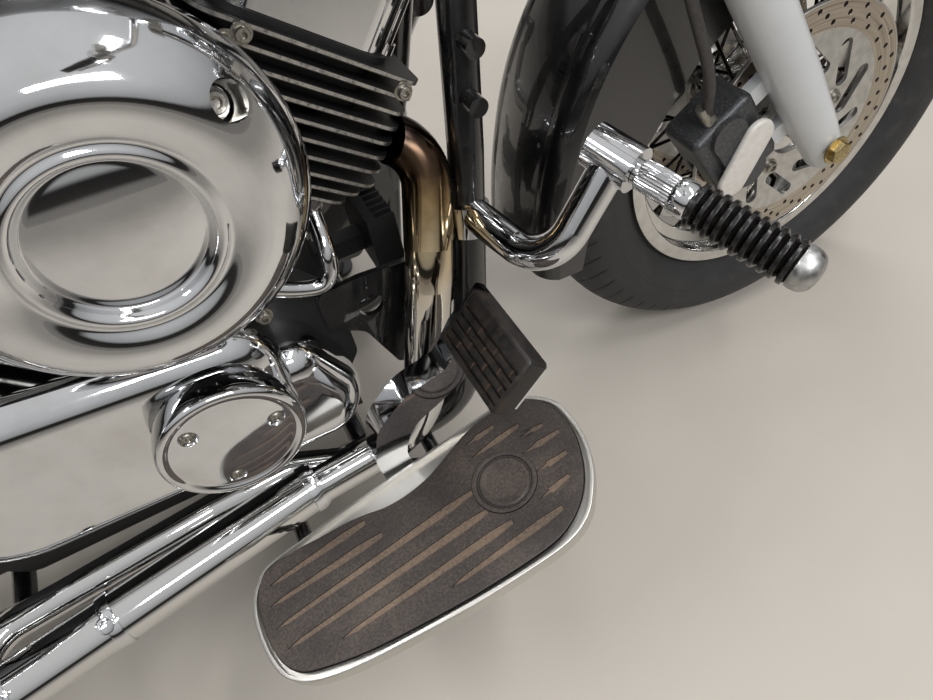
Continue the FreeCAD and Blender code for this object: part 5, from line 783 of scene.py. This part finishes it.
# Rubber rubbed by a boot: half matt, browned in patches of about 11 mm.
pad_rubber, shader = finish_of("worn_pedal_rubber", "#1C1918", 0.55)
worn(pad_rubber, shader, 90.0, [(0.0, "#151312"), (0.5, "#211D1B"), (1.0, "#33291F")], (0.36, 0.6), 0.00008)
fitted(pad, pad_rubber, "chassis", "rubber", "brake_pedal_pad")
bars = []
for index, b in enumerate((-16, -8, 0, 8)):
    for step in range(3):
        a = 24 + step * 26 + (index % 2) * 11
        bar_line = [(a - 1.1, b - 3.0), (a + 1.1, b - 3.0), (a + 1.1, b + 3.0), (a - 1.1, b + 3.0)]
        bars.append(sheet_form("pad_bar", bar_line, 17.7, 20.4, PAD, 0.4, 2))
bar_rubber, shader = finish_of("brown_worn_rubber_bars", "#4A3425", 0.6)
worn(bar_rubber, shader, 300.0, [(0.0, "#2A201A"), (1.0, "#4E3928")], (0.5, 0.7))
together("pedal_pad_bars", bars, bar_rubber, "chassis", "rubber")

# Brake hoses: a reinforced rubber hose each side, from the lower clamp down behind the fork leg to the caliper, where a
# plated ferrule ends it. The rubber is dark grey and half matt. The grips are moulded rubber too, matt and darker.
moulded_rubber, shader = finish_of("moulded_rubber", "#221F1D", 0.7)
worn(moulded_rubber, shader, 500.0, [(0.0, "#161413"), (1.0, "#262321")], (0.45, 0.7), 0.00006)
paint(moulded_rubber, "grips")
hose_rubber, shader = finish_of("extruded_hose_rubber", "#3A3836", 0.5)
worn(hose_rubber, shader, 200.0, [(0.0, "#2C2A28"), (1.0, "#454240")], (0.42, 0.58), 0.00005)
FERRULE = [(0, 0), (0, 8.4), (5, 8.4), (6, 7.6), (18, 7.4), (19.5, 6.9), (26, 6.7), (26, 0)]
route = [(1366.4, 84, 710.8), (1393.7, 84, 668.9), (1416, 119, 556), (1462, 110, 462), (1474, 96, 410.5),
         (1480.5, 96, 400.4)]
for side, name in ((-1, "right_brake_hose"), (1, "left_brake_hose")):
    line = bpy.data.curves.new(name, "CURVE")
    line.dimensions = "3D"
    spline = line.splines.new("NURBS")
    spline.points.add(len(route) - 1)
    for point, (x, y, z) in zip(spline.points, route):
        point.co = (*(PARKED @ Vector((x, side * y, z))), 1)
    spline.order_u = 3
    spline.use_endpoint_u = True
    line.bevel_depth = 0.006
    line.bevel_resolution = 6
    line.resolution_u = 16
    line.use_fill_caps = True
    line.materials.append(hose_rubber)
    hose = bpy.data.objects.new(name, line)
    bpy.context.scene.collection.objects.link(hose)
    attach(hose, "steering")
    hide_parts("brake_hoses")
    low = Vector((1480.5, side * 96, 400.4))
    ferrule = spun(name + "_ferrule", FERRULE, low, (-0.545, 0, 0.839), 28)
    fitted(ferrule, screw_zinc, "steering", "steel")

# Peg adapters and axle nuts: a fluted chromed sleeve behind each highway peg's rubber, and a plated nut and washer on
# each end of the front axle.
def fluted(name, foot, axis, length, crest, root, ribs):
    """A sleeve with ribs along it: a cylinder whose every other edge stands lower."""
    bpy.ops.object.select_all(action="DESELECT")
    bpy.ops.mesh.primitive_cylinder_add(vertices=ribs * 2, radius=crest, depth=length)
    piece = bpy.context.object
    piece.name = name
    for vertex in piece.data.vertices:
        turn = round((math.atan2(vertex.co.y, vertex.co.x) % math.tau) / math.tau * ribs * 2)
        if turn % 2:
            vertex.co.x *= root / crest
            vertex.co.y *= root / crest
        vertex.co.z += length / 2
    rounded = piece.modifiers.new("ends", "BEVEL")
    rounded.width, rounded.segments, rounded.limit_method, rounded.angle_limit = 1.0, 2, "ANGLE", math.radians(70)
    bpy.ops.object.modifier_apply(modifier="ends")
    piece.data.transform(PARKED @ Matrix.Translation(foot) @ Vector(axis).to_track_quat("Z", "Y").to_matrix().to_4x4())
    bpy.ops.object.shade_smooth_by_angle(angle=math.radians(25))
    return piece


COLLAR = [(0, 12), (0, 14.2), (2, 15.4), (14, 15.4), (15.6, 14.6), (15.6, 11.2)]
adapter = fluted("peg_adapter", peg_stem + peg_out * 4, peg_out, 32, 13.6, 12.2, 30)
collar = spun("peg_collar", COLLAR, peg_stem + peg_out * 36, peg_out, 48)
parts = [adapter, collar, mirror_copy(adapter, "adapter_left"), mirror_copy(collar, "collar_left")]
together("peg_adapters", parts, chrome_plate, "chassis", "chrome")
# Yellow passivated zinc: straw-coloured, with brown specks of about 2 mm.
yellow_zinc, shader = finish_of("yellow_zinc_plated_nut", "#B9A779", 0.34, 1.0)
worn(yellow_zinc, shader, 500.0, [(0.0, "#7E6B48"), (0.5, "#B5A272"), (1.0, "#CFC39D")], (0.26, 0.46), 0.00005)
nuts = []
for side in (-1, 1):
    nut = fluted("axle_nut", (1640, side * 138.5, 320), (0, side, 0), 9, 13.5, 13.5, 3)
    washer = spun("axle_washer", [(0, 10), (0, 17), (2, 17), (2.4, 10)], (1640, side * 137, 320), (0, side, 0), 32)
    nuts += [nut, washer]
together("front_axle_nuts", nuts, yellow_zinc, "steering", "steel")

# Engine fittings: the chromed water elbow beside the front barrel, cylinder-head screws and the worm clamps of the
# lower heat shield.
def pipe(name, route, radius, material, body, slot):
    """A bent tube: a smooth line through its bends, given a round section and made a mesh."""
    line = bpy.data.curves.new(name, "CURVE")
    line.dimensions = "3D"
    spline = line.splines.new("NURBS")
    spline.points.add(len(route) - 1)
    for point, place in zip(spline.points, route):
        point.co = (*place, 1)
    spline.order_u = 3
    spline.use_endpoint_u = True
    line.bevel_depth, line.bevel_resolution, line.resolution_u = radius, 6, 12
    line.use_fill_caps = True
    bent = bpy.data.objects.new(name, line)
    bpy.context.scene.collection.objects.link(bent)
    bpy.ops.object.select_all(action="DESELECT")
    bent.select_set(True)
    bpy.context.view_layer.objects.active = bent
    bpy.ops.object.convert(target="MESH")
    bent = bpy.context.object
    bent.data.transform(PARKED)
    bpy.ops.object.shade_smooth_by_angle(angle=math.radians(40))
    return fitted(bent, material, body, slot)


ELBOW = [(1052, -92, 478), (1050, -116, 460), (1046, -122, 436), (1034, -122, 426), (1012, -122, 434), (985, -120, 450),
         (960, -112, 462)]
pipe("coolant_elbow", ELBOW, 7.5, chrome_plate, "chassis", "chrome")
head_screws = [((1050, -88, 637), RIGHT), ((1038, -88, 636), RIGHT), ((1156, -87, 553), RIGHT), ((978, -130, 430), RIGHT)]
screws("head_screws", head_screws, socket_screw(5.5, 6), screw_zinc, "chassis", "steel")
BAND = [(-6, 27), (-6, 28.6), (-5, 29), (5, 29), (6, 28.6), (6, 27)]
HOUSING = [(0, 0), (0, 8.6), (6, 8.2), (7, 6), (7, 0)]
pipe_back, tighten = (-0.98, -0.19, 0.02), (0.4, -0.6, 0.69)
front_clamp, second_clamp, rear_clamp = (940, -151, 197.2), (724, -192, 202.5), (622, -211.6, 204.6)
bands = [spun("clamp_band", BAND, middle, pipe_back, 64) for middle in (second_clamp, front_clamp, rear_clamp)]
for middle in (second_clamp, rear_clamp):
    spot = Vector(middle) + Vector((0, -17, 24))
    bands.append(fluted("clamp_screw", spot, tighten, 14, 6.5, 6.5, 3))
    bands.append(spun("clamp_housing", HOUSING, spot - Vector((2, -3, 4)), tighten, 24))
together("shield_clamps", bands, chrome_plate, "chassis", "chrome")

# Seats: vinyl covers drawn over foam and sewn along a piped seam under the crown. The vinyl is black and half matt,
# embossed with a pebble grain of about 1.6 mm, and its shine is clouded over about 25 mm.
seat_vinyl, shader = finish_of("black_seat_vinyl_grained", "#161618", 0.5)
place = add_node(seat_vinyl, "TexCoord").outputs["Object"]
pebble = add_node(seat_vinyl, "TexVoronoi", [("Scale", 620.0), ("Randomness", 1.0)], [("Vector", place)])
worn(seat_vinyl, shader, 40.0, [(0.0, "#0F0F10"), (0.7, "#19191B"), (1.0, "#232324")], (0.36, 0.52))
raised = add_node(seat_vinyl, "Bump", [("Distance", 0.00025), ("Strength", 1.0)], [("Height", pebble)])
surface(seat_vinyl, shader, normal=raised)


def cushion(name, node, tops, swell):
    """A cover blown up over its foam: the solid's copy, drawn in, remeshed, puffed by cloth pressure and capped at its
    swell in metres, with a seam 30 mm under its line of tops (ahead, height)."""
    mesh = nodes[node].data.copy()
    piece = bpy.data.objects.new(name, mesh)
    bpy.context.scene.collection.objects.link(piece)
    bpy.ops.object.select_all(action="DESELECT")
    piece.select_set(True)
    bpy.context.view_layer.objects.active = piece
    bpy.ops.object.mode_set(mode="EDIT")
    bpy.ops.mesh.select_all(action="SELECT")
    bpy.ops.mesh.remove_doubles(threshold=0.00001)
    bpy.ops.object.mode_set(mode="OBJECT")
    remesh = piece.modifiers.new("foam", "REMESH")
    remesh.mode, remesh.voxel_size = "VOXEL", 0.006
    bpy.ops.object.modifier_apply(modifier="foam")
    soften = piece.modifiers.new("soften", "SMOOTH")
    soften.factor, soften.iterations = 0.5, 12
    bpy.ops.object.modifier_apply(modifier="soften")
    drawn = piece.modifiers.new("drawn_in", "DISPLACE")
    drawn.strength, drawn.mid_level = -swell * 0.7, 0.0
    bpy.ops.object.modifier_apply(modifier="drawn_in")
    before = [vertex.co.copy() for vertex in piece.data.vertices]
    cloth = piece.modifiers.new("cover", "CLOTH")
    cloth.settings.use_pressure = True
    cloth.settings.uniform_pressure_force = 4.0
    cloth.settings.effector_weights.gravity = 0.0
    cloth.point_cache.frame_start, cloth.point_cache.frame_end = 1, 20
    for step in range(1, 21):
        bpy.context.scene.frame_set(step)
    blown = piece.evaluated_get(bpy.context.evaluated_depsgraph_get())
    after = [vertex.co.copy() for vertex in blown.data.vertices]
    piece.modifiers.remove(cloth)
    bpy.context.scene.frame_set(1)
    for vertex, start, end in zip(piece.data.vertices, before, after):
        move = end - start
        vertex.co = start + move * min(1.0, swell / max(move.length, 1e-6))
    finer = piece.modifiers.new("finer", "SUBSURF")
    finer.levels = finer.render_levels = 1
    bpy.ops.object.modifier_apply(modifier="finer")
    to_machine = PARKED.inverted()
    piece.data.update()
    normals = [vertex.normal.copy() for vertex in piece.data.vertices]
    for vertex, normal in zip(piece.data.vertices, normals):
        spot = to_machine @ vertex.co
        ahead = next((k for k in range(len(tops) - 1) if tops[k + 1][0] <= spot.x <= tops[k][0]), None)
        if ahead is None:
            continue
        (x0, z0), (x1, z1) = tops[ahead], tops[ahead + 1]
        seam = z0 + (z1 - z0) * (spot.x - x0) / (x1 - x0) - 30
        vertex.co -= normal * 0.0030 * math.exp(-((spot.z - seam) / 3.2) ** 2)
    bpy.ops.object.shade_smooth_by_angle(angle=math.radians(60))
    fitted(piece, seat_vinyl, "chassis", "leather", node)


cushion("rider_seat_cover", "rider_seat", [(700, 806), (688, 802), (600, 740), (500, 716), (400, 724), (332, 782)], 0.007)
cushion("passenger_seat_cover", "passenger_seat", [(332, 776), (200, 788), (70, 774), (-10, 740)], 0.007)

# Lamps: a clear fluted front lens, and chromed shells whose lenses are red acrylic behind and amber on the turn lamps.
# The flutes are 5.7 mm wide, and the acrylic glows a little unevenly, over about 12 mm.
clear_lens, shader = finish_of("fluted_lens_glass", "#E4E8EA", 0.06)
shader.inputs["Transmission Weight"].default_value = 0.6
flutes = add_node(clear_lens, "TexWave", [("Scale", 55.0), ("Distortion", 0.0), ("bands_direction", "Y")],
                  [("Vector", measured(clear_lens))])
raised = add_node(clear_lens, "Bump", [("Distance", 0.001), ("Strength", 1.0)], [("Height", flutes.outputs["Fac"])])
surface(clear_lens, shader, normal=raised)
paint(clear_lens, "headlight_lens")


def lamp_finish(name, colours, aim, limit):
    """Chromed shells whose faces along one direction are coloured acrylic, beyond a limit of |y| in metres. The faces
    are found by the mesh's own normals, so the lenses stay in place when the fork turns."""
    material, shader = finish_of(name, "#D6D8DA", 0.06, 1.0)
    place = measured(material)
    parts = add_node(material, "SeparateXYZ", links=[("Vector", place)])
    normal = add_node(material, "TexCoord").outputs["Normal"]
    facing = add_node(material, "VectorMath", [("operation", "DOT_PRODUCT"), (1, UPRIGHT.to_3x3() @ Vector(aim))],
                      [(0, normal)])
    ahead = add_node(material, "MapRange", [("From Min", 0.8), ("From Max", 0.86)], [("Value", facing.outputs["Value"])])
    width = add_node(material, "Math", [("operation", "ABSOLUTE")], [(0, parts.outputs["Y"])])
    beyond = add_node(material, "MapRange", [("From Min", limit), ("From Max", limit + 0.001)], [("Value", width)])
    lens = add_node(material, "Math", [("operation", "MULTIPLY")], [(0, ahead), (1, beyond)])
    glow = add_node(material, "TexNoise", [("Scale", 80.0), ("Detail", 3.0)], [("Vector", place)])
    tint = add_node(material, "ValToRGB", [("stops", [(0.3, colours[0]), (0.7, colours[1])])], [("Fac", glow)])
    colour = add_node(material, "Mix", [("data_type", "RGBA"), (6, linear("#D6D8DA"))], [(0, lens), (7, tint)])
    chrome = add_node(material, "Math", [("operation", "SUBTRACT"), (0, 1.0)], [(1, lens)])
    dull = add_node(material, "MapRange", [("From Min", 0.3), ("From Max", 0.7), ("To Min", 0.05), ("To Max", 0.12)],
                    [("Value", glow)])
    surface(material, shader, colour=colour.outputs[2], metallic=chrome, roughness=dull)
    return material


rear_slope = math.radians(155)
rear_aim = (math.cos(rear_slope), 0, math.sin(rear_slope))
paint(lamp_finish("chromed_tail_lamp_red_acrylic", ("#7A0D0A", "#A01612"), rear_aim, -1.0), "tail_light")
paint(lamp_finish("chromed_headlight_amber_acrylic", ("#B0590F", "#D07A1E"), (1, 0, 0), 0.14), "headlight")

# Speedometer: a dark dial with plain marks and a needle under a chromed bezel, let into the tank's console. The dial
# is printed, so black and white are both even and satin.
dial_black, shader = finish_of("printed_dial_black", "#101012", 0.35, coat=1.0)
worn(dial_black, shader, 200.0, [(0.0, "#0C0C0E"), (1.0, "#161618")], (0.3, 0.4))
dial_white, shader = finish_of("printed_dial_white", "#E2E2DC", 0.5)
worn(dial_white, shader, 200.0, [(0.0, "#D8D8D2"), (1.0, "#E8E8E2")], (0.45, 0.55))
BEZEL = [(0, 47), (5, 46.5), (7, 44), (6.6, 41.5), (3, 40), (1.5, 40)]
DIAL = [(0, 0), (0, 41), (2, 41), (2.2, 0)]
dial_foot, dial_up = (1058, 0, 933.5), (0, 0, 1)
fitted(spun("speedometer_bezel", BEZEL, dial_foot, dial_up, 64), chrome_plate, "chassis", "chrome")
fitted(spun("speedometer_face", DIAL, dial_foot, dial_up, 64), dial_black, "chassis", "black_engine")
marks = []
for index in range(17):
    turn = Matrix.Translation((1058, 0, 935.6)) @ Matrix.Rotation(math.radians(-130 + index * 16.25), 4, "Z")
    inner = 30 if index % 2 else 27
    marks.append(sheet_form("dial_mark", [(-36, -0.7), (-inner, -0.7), (-inner, 0.7), (-36, 0.7)], 0, 0.5, turn))
needle = Matrix.Translation((1058, 0, 936.4)) @ Matrix.Rotation(math.radians(-130), 4, "Z")
marks.append(sheet_form("dial_needle", [(-33, -0.4), (8, -1.6), (8, 1.6), (-33, 0.4)], 0, 0.8, needle))
together("speedometer_marks", marks, dial_white, "chassis", "lens")

# Number plate: a plain blank plate of painted sheet on a folded bracket under the tail lamp, smooth and satin.
plate_line = [(-85, 0), (85, 0), (88, 3), (88, 117), (85, 120), (-85, 120), (-88, 117), (-88, 3)]
PLATE = Matrix.Translation((-366, 0, 300)) @ Matrix.Rotation(math.radians(-100), 4, "Y") \
    @ Matrix.Rotation(math.radians(90), 4, "Z")
number_plate = sheet_form("number_plate", plate_line, 0, 2, PLATE, 0.6, 2)
plate_white, shader = finish_of("painted_plate_sheet", "#DDDDD8", 0.4, coat=0.2)
worn(plate_white, shader, 30.0, [(0.0, "#D2D2CC"), (1.0, "#E2E2DE")], (0.32, 0.46))
fitted(number_plate, plate_white, "chassis", "aluminium")
